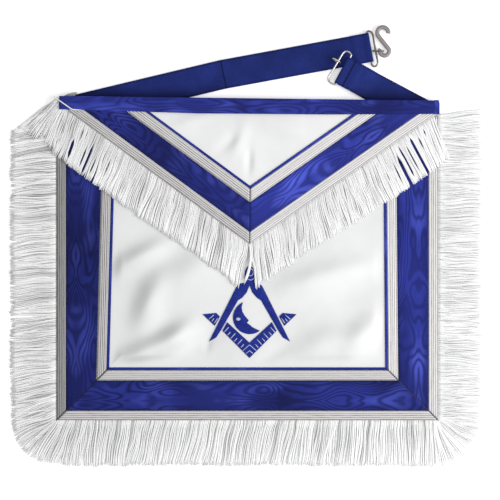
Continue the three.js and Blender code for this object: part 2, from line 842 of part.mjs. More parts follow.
// The eye ring hangs on the short loop's outer bar and stands on the long strap
const eyeWay = 154;
const barShare = 0.2; // how far up the bar the ring sits, as a share of the strap's width
const shortAlong = [Math.cos(shortBack * degree), Math.sin(shortBack * degree)];
const middleReach = (shortReaches[0] + shortReaches[1]) / 2;
const barReach = THREE.MathUtils.lerp(middleReach, shortReaches[0], 2 * barShare);
const eyeBar = {
  x: shortEnd.x + shortAlong[0] * (eyeOuter - barReach) - shortSide[0] * barShare * webWidth,
  y: shortEnd.y + shortAlong[1] * (eyeOuter - barReach) - shortSide[1] * barShare * webWidth,
};
const eyeMiddle = webWall + layerGap + eyeRadius + wireRadius;
const eyeRoom = eyeRadius - 2 * wireRadius - sideGap; // from the ring's middle to the bar's
const eyeOffset = Math.sqrt(eyeRoom ** 2 - (eyeMiddle - shortBar) ** 2);
add(
  "eye_ring",
  nickel,
  standingRing(
    eyeBar.x + Math.cos(eyeWay * degree) * eyeOffset,
    eyeBar.y + Math.sin(eyeWay * degree) * eyeOffset,
    eyeMiddle,
    eyeWay,
    eyeRadius,
    wireRadius,
    24,
    8,
  ),
);

// The snake hook: one crook over one eye, swept along arcs, lying beside the long loop
const hookEdge = 0.35 * hookThickness;
const hookQuarter = [
  [hookThickness / 2, hookWidth / 2 - hookEdge],
  [hookThickness / 2 - hookEdge, hookWidth / 2],
];
const hookHalf = [...hookQuarter, ...[...hookQuarter].reverse().map(([x, y]) => [-x, y])];
const hookSection = outline([...hookHalf, ...[...hookHalf].reverse().map(([x, y]) => [x, -y])]);
const loopBarX = longEnd.x + loopReach - eyeOuter;
const hookMiddle = {
  x: loopBarX + wireRadius + linkSlack + sideGap + hookEyeRadius + hookWidth / 2,
  y: longEnd.y - hookDrop,
};
const hookPath = new THREE.CurvePath();
const crook = { x: -1.6, y: 19.4 };
const flatArc = ({ x, y }, radius, from, to, clockwise) => {
  const arc = new THREE.EllipseCurve(x, y, radius, radius, from * degree, to * degree, clockwise);
  return new THREE.CatmullRomCurve3(
    arc.getPoints(12).map((p) => new THREE.Vector3(p.x, p.y, 0)),
  );
};
const crookEnd = 222;
const eyeStart = 52;
hookPath.add(flatArc(crook, hookCrookRadius, -8, crookEnd, false));
hookPath.add(
  new THREE.LineCurve3(
    new THREE.Vector3(
      crook.x + hookCrookRadius * Math.cos(crookEnd * degree),
      crook.y + hookCrookRadius * Math.sin(crookEnd * degree),
      0,
    ),
    new THREE.Vector3(
      hookEyeRadius * Math.cos(eyeStart * degree),
      hookEyeRadius * Math.sin(eyeStart * degree),
      0,
    ),
  ),
);
hookPath.add(flatArc({ x: 0, y: 0 }, hookEyeRadius, eyeStart, -205, true));
const hookGeometry = new THREE.ExtrudeGeometry(hookSection, { steps: 40, extrudePath: hookPath });
hookGeometry.rotateZ(hookLean * degree);
hookGeometry.translate(hookMiddle.x, hookMiddle.y, linkInside + hookThickness / 2);
add("snake_hook", nickel, solidOf(hookGeometry));

// The link round the hook's eye and the long loop's outer bar, standing on edge
const linkLeft = loopBarX - wireRadius - sideGap - linkWire;
const linkRight = hookMiddle.x - hookEyeRadius + hookWidth / 2 + sideGap + linkWire;
const linkLow = linkHeight + linkWire;
const linkHigh = linkInside + hookThickness + sideGap + linkWire;
const linkCurve = new THREE.CatmullRomCurve3(
  [
    [0, 0.22],
    [0, 0.78],
    [0.1, 1],
    [0.9, 1],
    [1, 0.78],
    [1, 0.22],
    [0.9, 0],
    [0.1, 0],
  ].map(
    ([u, w]) =>
      new THREE.Vector3(
        THREE.MathUtils.lerp(linkLeft, linkRight, u),
        hookMiddle.y,
        THREE.MathUtils.lerp(linkLow, linkHigh, w),
      ),
  ),
  true,
  "centripetal",
);
add("hook_link", nickel, closedWire(linkCurve, linkWire, 24, 6));

// The emblem: half outlines as shares of its half width and of its height below the head's top
const halfWide = emblemWidth / 2;
const emblemPoint = ([u, v], side = 1) => [
  emblemShift + side * u * halfWide,
  emblemTip + emblemHeight * (1 - v),
];
const both = (half) => [
  ...half.map((p) => emblemPoint(p, 1)),
  ...[...half].reverse().filter(([u]) => u > 0).map((p) => emblemPoint(p, -1)),
];
const legHalf = [
  [0, 0.22],
  [0.13, 0.337],
  [0.25, 0.378],
  [0.623, 0.705],
  [0.723, 0.78],
  [0.88, 0.824],
  [0.283, 0.228],
  [0.228, 0.196],
  [0.09, 0.19],
  [0.05, 0.15],
];
const cornerHalf = [
  [0, 0.833],
  [0.495, 0.611],
  [0.6, 0.705],
  [0, 1],
];
const squareEnd = [
  [1, 0.528],
  [0.7, 0.514],
  [0.622, 0.552],
  [0.735, 0.654],
];
const emblemLow = level.bodyTrim;
const emblemHigh = emblemLow + emblemLift;
const embroidered = (shape) => prism(shape, emblemLow, emblemHigh);
const headWide = 0.057 * emblemHeight;
const headTall = 0.065 * emblemHeight;
const headShape = new THREE.Shape();
headShape.absellipse(...emblemPoint([0, 0.065]), headWide, headTall, 0, 2 * Math.PI);
const neckShape = both([[0.05, 0.1], [0.09, 0.19], [0.02, 0.26]]);
add(
  "compasses",
  stitched,
  embroidered(both(legHalf)).add(embroidered(neckShape)).add(embroidered(headShape)),
);
const clearOfLegs = (points, shift) => points.map(([x, y]) => [x + shift, y]);
const middle = both(cornerHalf).map(([x, y]) => [
  emblemShift + (x - emblemShift) * (1 - (2 * emblemGap) / halfWide),
  y - emblemGap / 2,
]);
add("square_middle", stitched, embroidered(middle));
add(
  "square_right_end",
  stitched,
  embroidered(clearOfLegs(squareEnd.map((p) => emblemPoint(p, 1)), 2 * emblemGap)),
);
add(
  "square_left_end",
  stitched,
  embroidered(clearOfLegs(squareEnd.map((p) => emblemPoint(p, -1)), -2 * emblemGap)),
);

// The crescent: an outer arc closed by a face in profile, as shares of the emblem's sizes
const moonCentre = emblemPoint([0.017, 0.563]);
const moonRadius = 0.174 * emblemHeight;
const moonFace = [
  [0.15, 0.69],
  [0.06, 0.667],
  [0.02, 0.648],
  [-0.055, 0.62],
  [-0.015, 0.594],
  [-0.1, 0.545],
  [-0.155, 0.5],
  [-0.17, 0.45],
];
const moonShape = new THREE.Shape();
moonShape.absarc(...moonCentre, moonRadius, 116 * degree, 306 * degree, false);
moonFace.map((p) => emblemPoint(p)).forEach(([x, y]) => moonShape.lineTo(x, y));
const moonEye = { place: [-0.245, 0.58], wide: 2.6, tall: 1.9 };
const eyeSpot = (grow) => {
  const spot = new THREE.Shape();
  const [x, y] = emblemPoint(moonEye.place);
  spot.absellipse(x, y, moonEye.wide + grow, moonEye.tall + grow, 0, 2 * Math.PI);
  return spot;
};
add("moon", stitched, embroidered(moonShape).subtract(prism(eyeSpot(sideGap), -solidRange, solidRange)));
add("moon_eye", { color: 0xb9bccb, roughness: 0.6, metalness: 0 }, embroidered(eyeSpot(0)));

export default group;
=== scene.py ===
"""Looks of a fringed lodge apron that lies face up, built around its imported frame.

Sizes are in millimetres in the same frame as the source of the part, and are turned to metres where a
mesh is made: +Z out of the apron's face, +X to its right as seen, +Y up to the belt.
"""

import logging
import math
from dataclasses import dataclass
from enum import Enum
from typing import Callable, Sequence

import bpy
import numpy as np
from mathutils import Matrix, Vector


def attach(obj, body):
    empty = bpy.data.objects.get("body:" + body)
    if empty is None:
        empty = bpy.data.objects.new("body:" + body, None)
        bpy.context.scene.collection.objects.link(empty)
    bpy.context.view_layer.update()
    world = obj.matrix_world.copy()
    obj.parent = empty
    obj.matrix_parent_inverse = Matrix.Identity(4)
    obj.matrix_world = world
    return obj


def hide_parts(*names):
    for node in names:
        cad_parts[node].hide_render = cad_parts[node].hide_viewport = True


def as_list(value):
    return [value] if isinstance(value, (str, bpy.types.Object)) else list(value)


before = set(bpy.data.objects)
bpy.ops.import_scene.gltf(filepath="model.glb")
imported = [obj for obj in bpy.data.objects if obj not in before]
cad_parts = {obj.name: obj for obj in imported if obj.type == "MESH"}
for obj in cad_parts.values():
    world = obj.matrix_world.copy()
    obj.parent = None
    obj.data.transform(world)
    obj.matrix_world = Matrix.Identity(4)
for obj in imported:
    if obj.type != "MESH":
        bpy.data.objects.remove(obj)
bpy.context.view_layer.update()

MM = 0.001
BODY = "root"
LOG = logging.getLogger("apron")
Point = tuple[float, float]
Point3 = tuple[float, float, float]
Colour = tuple[float, float, float]
Place = Callable[[float, float], Point3]
Numbers = float | np.ndarray
Socket = bpy.types.NodeSocket


class Slot(Enum):
    """The record's material slots."""

    LEATHER = "leather"
    FRINGE = "fringe_thread"
    MOIRE = "moire_ribbon"
    BRAID = "silver_braid"
    EDGING = "blue_edging"
    WEBBING = "webbing"
    STITCH = "embroidery"
    EYE = "eye_thread"
    NICKEL = "nickel"


class Side(Enum):
    """The two sides of the apron, as signs of x."""

    LEFT = -1
    RIGHT = 1

    @property
    def word(self) -> str:
        """The side's name, as the nodes end with it."""
        return self.name.lower()


def smooth(low: float, high: float, value: Numbers) -> Numbers:
    """A soft step from 0 at low to 1 at high.

    Args:
        low: where the step starts.
        high: where it ends.
        value: a number or an array.

    Returns:
        The step's height, as value's own kind.
    """
    share = np.clip((value - low) / (high - low), 0, 1)
    return share * share * (3 - 2 * share)


def drift(seed: int, pitch: float, at: Numbers) -> np.ndarray:
    """Soft random values between -1 and 1 along a line.

    Args:
        seed: makes one line's values differ from another's.
        pitch: the distance between two random values.
        at: places along the line.

    Returns:
        One value for each place.
    """
    places = np.asarray(at, float) / pitch + 1000
    knots = np.random.default_rng(seed).uniform(-1, 1, 4096)
    low = np.floor(places).astype(int)
    share = smooth(0, 1, places - low)
    return knots[low % 4096] * (1 - share) + knots[(low + 1) % 4096] * share


@dataclass(frozen=True)
class Layout:
    """The part's driving sizes and its ground, in millimetres, as its source has them."""

    body_width: float = 406
    body_height: float = 342
    top_turn: float = math.radians(0.7)
    leather_wall: float = 1.3
    trim_wall: float = 1.0
    web_wall: float = 1.3
    web_width: float = 31
    wire: float = 1.0
    gap: float = 0.3
    braid_overlap: float = 4
    rise_run: float = 40
    rise_clear: float = 4
    band_height: float = 16.8
    band_end: float = 14.28
    window_half: float = 146.4
    flap_depth: float = 154.7
    flap_reach: float = 12.7
    flap_shift: float = 4.2
    left_splay: float = 1.2
    right_splay: float = 0.4

    @property
    def right(self) -> float:
        """Half the body's width."""
        return self.body_width / 2

    @property
    def top(self) -> float:
        """Half the body's height."""
        return self.body_height / 2

    @property
    def body_half(self) -> float:
        """Half the width of the leather."""
        return self.right - self.braid_overlap

    @property
    def turn_slope(self) -> float:
        """Fall of the top edge towards the right."""
        return math.tan(self.top_turn)

    @property
    def ground(self) -> float:
        """Height of the body where it lies over the straps."""
        return self.web_wall + self.trim_wall + 2 * self.gap

    @property
    def trim_level(self) -> float:
        """Underside of the body's ribbons over the ground."""
        return self.leather_wall + self.gap

    @property
    def flap_level(self) -> float:
        """Underside of the flap over the ground."""
        return self.leather_wall + self.trim_wall + 2 * self.gap

    @property
    def flap_trim_level(self) -> float:
        """Underside of the flap's ribbons over the ground."""
        return self.flap_level + self.leather_wall + self.gap

    @property
    def band_level(self) -> float:
        """Underside of the top band over the ground."""
        return self.flap_trim_level + self.trim_wall + self.gap

    @property
    def flap_slope(self) -> float:
        """Slope of the flap's edges."""
        return self.flap_depth / (self.right + self.flap_reach)

    @property
    def flap_cos(self) -> float:
        """Cosine of the slope of the flap's edges."""
        return math.cos(math.atan(self.flap_slope))

    def top_at(self, x: float) -> float:
        """Height on the sheet of the top fold at x."""
        return self.top - x * self.turn_slope

    @property
    def eye(self) -> float:
        """Distance of a wire's middle from the fold of the webbing round it."""
        return self.wire + self.gap + self.web_wall

    def rise(self, y: Numbers) -> Numbers:
        """Height of the ground under the body, which lies over the straps at the top."""
        end = self.top - self.band_height - self.turn_slope * self.right - self.rise_clear
        return self.ground * smooth(end - self.rise_run, end, y)

    def flap_point(self, u: float, v: float) -> Point:
        """The place in plan of a point of the flap.

        Args:
            u: its distance to the right of the flap's middle line.
            v: its distance over the top edge.

        Returns:
            Its x and y.
        """
        cos, sin = math.cos(self.top_turn), math.sin(self.top_turn)
        x = u + self.flap_shift
        return x * cos + v * sin, self.top - x * sin + v * cos

    def flap_tip(self, inset: float) -> float:
        """Height under the top edge of a flap line that lies inset from the outer braid's edge."""
        return -self.flap_depth + inset / self.flap_cos


LAY = Layout()


def deselect() -> None:
    """Leaves nothing selected and no object in edit mode."""
    if bpy.context.object and bpy.context.object.mode != "OBJECT":
        bpy.ops.object.mode_set(mode="OBJECT")
    bpy.ops.object.select_all(action="DESELECT")


def activate(piece: bpy.types.Object) -> None:
    """Selects one object alone and makes it the active one.

    Args:
        piece: the object.
    """
    deselect()
    piece.select_set(True)
    bpy.context.view_layer.objects.active = piece


def mesh_piece(
    name: str, points: np.ndarray, faces: Sequence, uvs: np.ndarray | None = None
) -> bpy.types.Object:
    """Makes a mesh object from points in millimetres.

    Args:
        name: the piece's name.
        points: one row for each vertex.
        faces: rows of vertex numbers.
        uvs: one row for each vertex, in millimetres, or None.

    Returns:
        The new object, smooth shaded.
    """
    mesh = bpy.data.meshes.new(name)
    mesh.from_pydata((np.asarray(points) * MM).tolist(), [], [list(map(int, f)) for f in faces])
    mesh.update()
    if uvs is not None:
        corners = np.zeros(len(mesh.loops), np.int32)
        mesh.loops.foreach_get("vertex_index", corners)
        layer = mesh.uv_layers.new(name="uv")
        layer.data.foreach_set("uv", (np.asarray(uvs)[corners] * MM).astype(np.float32).ravel())
    mesh.polygons.foreach_set("use_smooth", [True] * len(mesh.polygons))
    piece = bpy.data.objects.new(name, mesh)
    bpy.context.scene.collection.objects.link(piece)
    return piece


def apply_modifier(piece: bpy.types.Object, kind: str, **settings: object) -> None:
    """Adds one modifier to a piece and applies it.

    Args:
        piece: the object.
        kind: the modifier's type.
        settings: the modifier's settings.
    """
    activate(piece)
    modifier = piece.modifiers.new(kind.lower(), kind)
    for key, value in settings.items():
        setattr(modifier, key, value)
    bpy.ops.object.modifier_apply(modifier=modifier.name)


def grid_faces(rows: int, columns: int) -> list[tuple[int, int, int, int]]:
    """Faces of a grid whose vertices are numbered row by row.

    Args:
        rows: faces along v.
        columns: faces along u.

    Returns:
        The four vertex numbers of each face.
    """
    step = columns + 1
    return [
        (j * step + i, j * step + i + 1, (j + 1) * step + i + 1, (j + 1) * step + i)
        for j in range(rows)
        for i in range(columns)
    ]


def cloth(
    name: str, rows: int, columns: int, place: Place, measure: Callable, wall: float
) -> bpy.types.Object:
    """Makes one sheet of cloth from a grid, with a wall under its face.

    Args:
        name: the piece's name.
        rows: faces along v.
        columns: faces along u.
        place: gives the point of the face for shares u and v.
        measure: gives the cloth's own across and along for shares u and v.
        wall: the cloth's thickness.

    Returns:
        The closed piece, with the cloth's own measures as its UV map.
    """
    shares = [(i / columns, j / rows) for j in range(rows + 1) for i in range(columns + 1)]
    points = np.array([place(u, v) for u, v in shares])
    uvs = np.array([measure(u, v) for u, v in shares])
    faces = grid_faces(rows, columns)
    first, across, along = points[0], points[1], points[columns + 1]
    if np.cross(across - first, along - first)[2] < 0:
        faces = [face[::-1] for face in faces]
    piece = mesh_piece(name, points, faces, uvs)
    apply_modifier(piece, "SOLIDIFY", thickness=wall * MM, offset=-1, use_even_offset=True)
    return piece


def finish_piece(
    piece: bpy.types.Object, material: bpy.types.Material, slot: Slot, *nodes: str
) -> bpy.types.Object:
    """Dresses a piece, hangs it on the body's empty, and hides the nodes that it stands for.

    Args:
        piece: the object.
        material: its finish.
        slot: the record's slot for it; not used.
        nodes: the nodes that it replaces.

    Returns:
        The same piece.
    """
    piece.data.materials.clear()
    piece.data.materials.append(material)
    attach(piece, BODY)
    if nodes:
        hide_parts(*nodes)
    LOG.info("%s: %d faces", piece.name, len(piece.data.polygons))
    return piece


class Graph:
    """A material's node graph, with short calls for the nodes that the finishes use."""

    def __init__(self, name: str) -> None:
        """Starts a material.

        Args:
            name: the material's name.
        """
        self.material = bpy.data.materials.new(name)
        self.material.use_nodes = True
        self.tree = self.material.node_tree
        self.shader = self.tree.nodes["Principled BSDF"]

    def constants(self, **values: object) -> None:
        """Sets constant values on the shader's own sockets.

        Args:
            values: each socket's value, with the spaces of its name written as underscores.
        """
        for key, value in values.items():
            self.shader.inputs[key.replace("_", " ")].default_value = value

    def node(self, kind: str, **settings: object) -> bpy.types.Node:
        """Adds one node.

        Args:
            kind: the node's type.
            settings: its settings.

        Returns:
            The node.
        """
        made = self.tree.nodes.new(kind)
        for key, value in settings.items():
            setattr(made, key, value)
        return made

    def put(self, socket: Socket, value: object) -> None:
        """Links a socket to another, or sets its value.

        Args:
            socket: the socket that takes the value.
            value: a socket or a constant.
        """
        if isinstance(value, Socket):
            self.tree.links.new(value, socket)
        else:
            socket.default_value = value

    def coords(self, which: str) -> Socket:
        """The coordinates named which."""
        return self.node("ShaderNodeTexCoord").outputs[which]

    def attribute(self, name: str) -> Socket:
        """The piece's own attribute of that name."""
        return self.node("ShaderNodeAttribute", attribute_name=name).outputs["Fac"]

    def mapped(self, vector: Socket, **settings: Sequence[float]) -> Socket:
        """A vector that is moved, turned or scaled.

        Args:
            vector: the vector.
            settings: its Location, Rotation or Scale.

        Returns:
            The changed vector.
        """
        made = self.node("ShaderNodeMapping")
        self.put(made.inputs["Vector"], vector)
        for key, value in settings.items():
            made.inputs[key].default_value = value
        return made.outputs["Vector"]

    def noise(self, vector: Socket, scale: float, detail: float = 2, warp: float = 0) -> Socket:
        """A noise texture's value.

        Args:
            vector: where it is read.
            scale: how fine it is.
            detail: how many finer layers it has.
            warp: how much it is distorted.

        Returns:
            The value.
        """
        made = self.node("ShaderNodeTexNoise")
        self.put(made.inputs["Vector"], vector)
        for key, value in (("Scale", scale), ("Detail", detail), ("Distortion", warp)):
            made.inputs[key].default_value = value
        return made.outputs["Fac"]

    def stretched(
        self, vector: Socket, across: float, along: float, detail: float, warp: float = 0
    ) -> Socket:
        """Noise that is finer one way than the other.

        Args:
            vector: where it is read.
            across: how fine it is along the vector's X.
            along: how fine it is along the vector's Y.
            detail: how many finer layers it has.
            warp: how much it is distorted.

        Returns:
            The value.
        """
        return self.noise(self.mapped(vector, Scale=(across, along, 1)), 1, detail, warp)

    def math(self, operation: str, a: object, b: object = 0.0) -> Socket:
        """One sum of two values.

        Args:
            operation: what is done with them.
            a: the first value.
            b: the second one.

        Returns:
            What comes of it.
        """
        made = self.node("ShaderNodeMath", operation=operation)
        self.put(made.inputs[0], a)
        self.put(made.inputs[1], b)
        return made.outputs[0]

    def times(self, a: object, b: object) -> Socket:
        """The product of two values."""
        return self.math("MULTIPLY", a, b)

    def plus(self, a: object, b: object) -> Socket:
        """The sum of two values."""
        return self.math("ADD", a, b)

    def apart(self, a: object, b: object) -> Socket:
        """The distance between two values."""
        return self.math("ABSOLUTE", self.math("SUBTRACT", a, b))

    def axis(self, vector: Socket, which: str) -> Socket:
        """One part of a vector.

        Args:
            vector: the vector.
            which: X, Y or Z.

        Returns:
            The part's socket.
        """
        made = self.node("ShaderNodeSeparateXYZ")
        self.put(made.inputs[0], vector)
        return made.outputs[which]

    def wave(self, value: object, period: float) -> Socket:
        """A wave between 0 and 1 that repeats each period of value."""
        angle = self.times(value, 2 * math.pi / period)
        return self.plus(self.times(self.math("SINE", angle), 0.5), 0.5)

    def level(self, value: object, low: float, high: float) -> Socket:
        """A value's share of the way between two others.

        Args:
            value: the value.
            low: where the share is 0.
            high: where it is 1.

        Returns:
            The share, held between 0 and 1.
        """
        made = self.node("ShaderNodeMapRange")
        self.put(made.inputs["Value"], value)
        made.inputs["From Min"].default_value = low
        made.inputs["From Max"].default_value = high
        return made.outputs["Result"]

    def ramp(self, value: object, *stops: tuple[float, Colour]) -> Socket:
        """A colour ramp.

        Args:
            value: the place on the ramp.
            stops: places with their colours.

        Returns:
            The colour.
        """
        made = self.node("ShaderNodeValToRGB")
        self.put(made.inputs[0], value)
        elements = made.color_ramp.elements
        while len(elements) < len(stops):
            elements.new(0.5)
        for element, (at, colour) in zip(elements, stops):
            element.position = at
            element.color = (*colour, 1)
        return made.outputs["Color"]

    def mix(self, share: object, a: object, b: object) -> Socket:
        """A mix of two colours.

        Args:
            share: how much of the second there is.
            a: the first colour, or a socket.
            b: the second one, or a socket.

        Returns:
            The colour.
        """
        made = self.node("ShaderNodeMix", data_type="RGBA")
        self.put(made.inputs["Factor"], share)
        for socket, value in ((made.inputs[6], a), (made.inputs[7], b)):
            self.put(socket, value if isinstance(value, Socket) else (*value, 1))
        return made.outputs[2]

    def bump(self, height: Socket, depth: float, strength: float = 1) -> None:
        """Adds a bump over the bumps that are there.

        Args:
            height: its height, as a share of depth.
            depth: its depth in metres.
            strength: how much of it shows.
        """
        made = self.node("ShaderNodeBump")
        made.inputs["Distance"].default_value = depth
        made.inputs["Strength"].default_value = strength
        self.put(made.inputs["Height"], height)
        normal = self.shader.inputs["Normal"]
        if normal.is_linked:
            self.put(made.inputs["Normal"], normal.links[0].from_socket)
        self.put(normal, made.outputs["Normal"])

    def colour(self, value: object) -> None:
        """Sets the base colour."""
        self.put(self.shader.inputs["Base Color"], value)


class Finish:
    """What all finishes share."""

    def build(self, name: str) -> bpy.types.Material:
        """Makes the finish's material.

        Args:
            name: the material's name.

        Returns:
            The material.
        """
        graph = Graph(name)
        self.paint(graph)
        return graph.material

    def paint(self, graph: Graph) -> None:
        """Sets the material's nodes.

        Args:
            graph: the material's nodes.
        """
        raise NotImplementedError


def tinted(colour: Colour, gain: float, most: float = 1) -> Colour:
    """A colour at a gain, with no part of it over most."""
    return tuple(min(part * gain, most) for part in colour)


@dataclass(frozen=True)
class Leather(Finish):
    """Smooth white lambskin."""

    light: Colour = (0.74, 0.742, 0.744)
    shade: Colour = (0.66, 0.662, 0.666)
    fold_depth: float = 0.0056

    def paint(self, graph: Graph) -> None:
        """Sets clouded white, fine grain and the folds that the piece's heights give.

        Args:
            graph: the material's nodes.
        """
        graph.constants(Roughness=0.6, Specular_IOR_Level=0.15)
        place = graph.coords("Object")
        cloud = graph.noise(place, 14, 3)
        graph.colour(graph.ramp(cloud, (0.3, self.shade), (0.7, self.light)))
        graph.bump(graph.noise(place, 900, 4), 0.00012, 0.3)
        graph.bump(graph.noise(place, 60, 2), 0.0009, 0.3)
        graph.bump(graph.attribute("fold"), self.fold_depth)


@dataclass(frozen=True)
class Moire(Finish):
    """Watered ribbon: fine ribs across, with wandering lines that mirror about a line along it.

    The pattern follows the ribbon's own across and along. mirror is the line's place as a share of the
    width, rim is how much painted shadow darkens the edges, where the braids beside the ribbon shade
    them, and along is how fine the pattern is lengthwise.
    """

    deep: Colour = (0.0055, 0.0072, 0.05)
    middle: Colour = (0.0155, 0.0225, 0.165)
    light: Colour = (0.058, 0.078, 0.42)
    gain: float = 1
    line_pitch: float = 0.014
    rings: float = 13
    rib_pitch: float = 0.0007
    width: float = 0.04
    mirror: float = 0
    rim: float = 0
    along: float = 11
    line_depth: float = 0.42
    line_light: float = 0.4
    patch_light: float = 0.25
    seed: float = 0

    def paint(self, graph: Graph) -> None:
        """Sets the ribbon's ground, its lines, a painted shadow along its edges, and broad painted sheen
        over them.

        Args:
            graph: the material's nodes.
        """
        graph.constants(Roughness=0.55, Specular_IOR_Level=0.05)
        laid = graph.coords("UV")
        folded = graph.node("ShaderNodeVectorMath", operation="ABSOLUTE")
        graph.put(folded.inputs[0], graph.mapped(laid, Location=(-self.mirror * self.width, 0, 0)))
        own = graph.mapped(folded.outputs[0], Location=(self.seed, self.seed * 0.7, self.seed))

        hills = graph.stretched(own, 44, self.along, 0.6, 0.2)
        small = graph.times(graph.stretched(own, 150, 60, 1), 0.6)
        drawn = graph.plus(graph.times(hills, self.rings), small)
        phase = graph.plus(graph.math("DIVIDE", graph.axis(own, "X"), self.line_pitch), drawn)
        lines = graph.level(graph.wave(phase, 1), 0.05, 0.75)

        # patch marks the broad painted sheen, where the light colour is mixed in.
        patch = graph.level(graph.stretched(own, 46, 20, 1), 0.48, 0.8)
        wide = graph.level(graph.stretched(own, 18, 9, 1), 0.3, 0.7)
        shown = graph.level(graph.stretched(own, 30, 15, 1), 0.3, 0.6)
        # off_middle, inside and kept paint shadow along both edges of the ribbon, as deep as rim.
        off_middle = graph.apart(graph.axis(laid, "X"), self.width / 2)
        inside = graph.level(off_middle, self.width * 0.52, self.width * 0.26)
        kept = graph.plus(graph.times(inside, self.rim), 1 - self.rim)

        weak = graph.plus(graph.times(graph.times(lines, shown), self.line_depth), graph.times(wide, 0.5))
        deep, middle, light = (tinted(part, self.gain) for part in (self.deep, self.middle, self.light))
        base = graph.mix(graph.times(weak, kept), deep, middle)
        lit = graph.plus(graph.times(lines, self.line_light), self.patch_light)
        graph.colour(graph.mix(graph.times(graph.times(lit, patch), kept), base, light))
        graph.bump(graph.wave(graph.axis(own, "Y"), self.rib_pitch), 0.00006, 0.4)
        graph.bump(lines, 0.0001, 0.2)


@dataclass(frozen=True)
class SilverBraid(Finish):
    """Silver thread laid lengthwise in ribs, with a row of stitches beside each edge.

    open_groove is how light the painted shade between two ribs is, as a share of groove.
    """

    light: Colour = (0.62, 0.61, 0.605)
    groove: Colour = (0.15, 0.14, 0.145)
    gain: float = 1
    open_groove: float = 1
    ribs: int = 5
    width: float = 0.010
    stitch: float = 0.0016
    edge: float = 0.0014

    def paint(self, graph: Graph) -> None:
        """Sets the ribs, which waver a little, with painted shade in the grooves between them, the wear
        over them, and the rows of stitches.

        Args:
            graph: the material's nodes.
        """
        graph.constants(Roughness=0.5, Metallic=0.1, Specular_IOR_Level=0.3)
        light, groove = tinted(self.light, self.gain), tinted(self.groove, self.gain)
        own = graph.coords("UV")
        across, along = graph.axis(own, "X"), graph.axis(own, "Y")
        wobble = graph.times(graph.stretched(own, 300, 25, 2), self.width * 0.07)
        rib = graph.wave(graph.plus(across, wobble), self.width / self.ribs)
        worn = graph.stretched(own, 1100, 70, 2)
        tone = graph.plus(graph.level(rib, 0.15, 0.75), graph.times(worn, 0.9))
        # The colour between ribs is painted shade in the grooves; groove also colours the stitches.
        dark = tinted(groove, self.open_groove, 0.6)
        base = graph.ramp(graph.times(tone, 0.6), (0.18, dark), (0.62, light))
        dash = graph.level(graph.wave(along, self.stitch), 0.35, 0.75)
        near = graph.level(across, self.edge, self.edge - 0.0005)
        far = graph.level(across, self.width - self.edge, self.width - self.edge + 0.0004)
        base = graph.mix(graph.times(far, 0.7), base, light)
        graph.colour(graph.mix(graph.times(graph.times(dash, near), 0.75), base, groove))
        graph.bump(dash, 0.00015, 0.4)
        graph.bump(worn, 0.00015, 0.5)


@dataclass(frozen=True)
class Thread(Finish):
    """Twisted thread of one colour, whose strands differ a little in tone; the tone also paints shade on
    them.
    """

    light: Colour
    shade: Colour
    roughness: float = 0.6
    twist_pitch: float = 0.0016

    def paint(self, graph: Graph) -> None:
        """Sets each point's tone between shade and light, which holds painted shade and light where a piece
        gives it, and a twist along its length.

        Args:
            graph: the material's nodes.
        """
        graph.constants(Roughness=self.roughness, Specular_IOR_Level=0.35)
        # The piece's tone attribute mixes in the shade colour as painted shade.
        graph.colour(graph.mix(graph.attribute("tone"), self.shade, self.light))
        own = graph.coords("UV")
        slant = graph.plus(graph.axis(own, "Y"), graph.times(graph.axis(own, "X"), 0.7))
        graph.bump(graph.wave(slant, self.twist_pitch), 0.0001, 0.12)


@dataclass(frozen=True)
class Webbing(Finish):
    """Close woven blue webbing, with ribs across and a plain selvedge.

    seam is how far along it a row of stitches, or a crease whose shade is painted as a dark line, lies, or
    0 where there is none. shaded is how far over the apron's top edge the band's shadow reaches, in
    millimetres.
    """

    light: Colour = (0.016, 0.029, 0.185)
    shade: Colour = (0.007, 0.013, 0.085)
    dark: Colour = (0.002, 0.003, 0.02)
    width: float = LAY.web_width * MM
    edge: float = 0.0018
    seam: float = 0
    seam_depth: float = 0.8
    shaded: float = 15

    def paint(self, graph: Graph) -> None:
        """Sets the weave, the lines of the selvedge and of the seam or the crease's painted shade, and the
        shadow at the band.

        Args:
            graph: the material's nodes.
        """
        graph.constants(Roughness=0.8, Specular_IOR_Level=0.1)
        own = graph.coords("UV")
        across, along = graph.axis(own, "X"), graph.axis(own, "Y")
        off_line = graph.apart(graph.apart(across, self.width / 2), self.width / 2 - self.edge)
        lines = graph.times(graph.level(off_line, 0.0005, 0.0001), 0.6)
        if self.seam:
            # A dark line across: a row of stitches, or the painted shade of a crease.
            stitches_or_crease_shade = graph.level(graph.apart(along, self.seam), 0.001, 0.0005)
            lines = graph.math("MAXIMUM", lines, graph.times(stitches_or_crease_shade, self.seam_depth))
        cloud, fine = graph.stretched(own, 30, 30, 3), graph.stretched(own, 900, 250, 2)
        tone = graph.plus(graph.times(cloud, 0.7), graph.times(fine, 0.3))
        woven = graph.ramp(tone, (0.3, self.shade), (0.68, self.light))
        place = graph.coords("Object")
        over = graph.plus(graph.axis(place, "Y"), graph.times(graph.axis(place, "X"), LAY.turn_slope))
        shadow = graph.level(over, (LAY.top + self.shaded) * MM, LAY.top * MM)
        woven = graph.mix(graph.times(shadow, 0.7), woven, self.dark)
        graph.colour(graph.mix(lines, woven, self.dark))
        graph.bump(graph.wave(along, 0.0011), 0.00012, 0.4)
        graph.bump(graph.wave(across, 0.0007), 0.00005, 0.4)


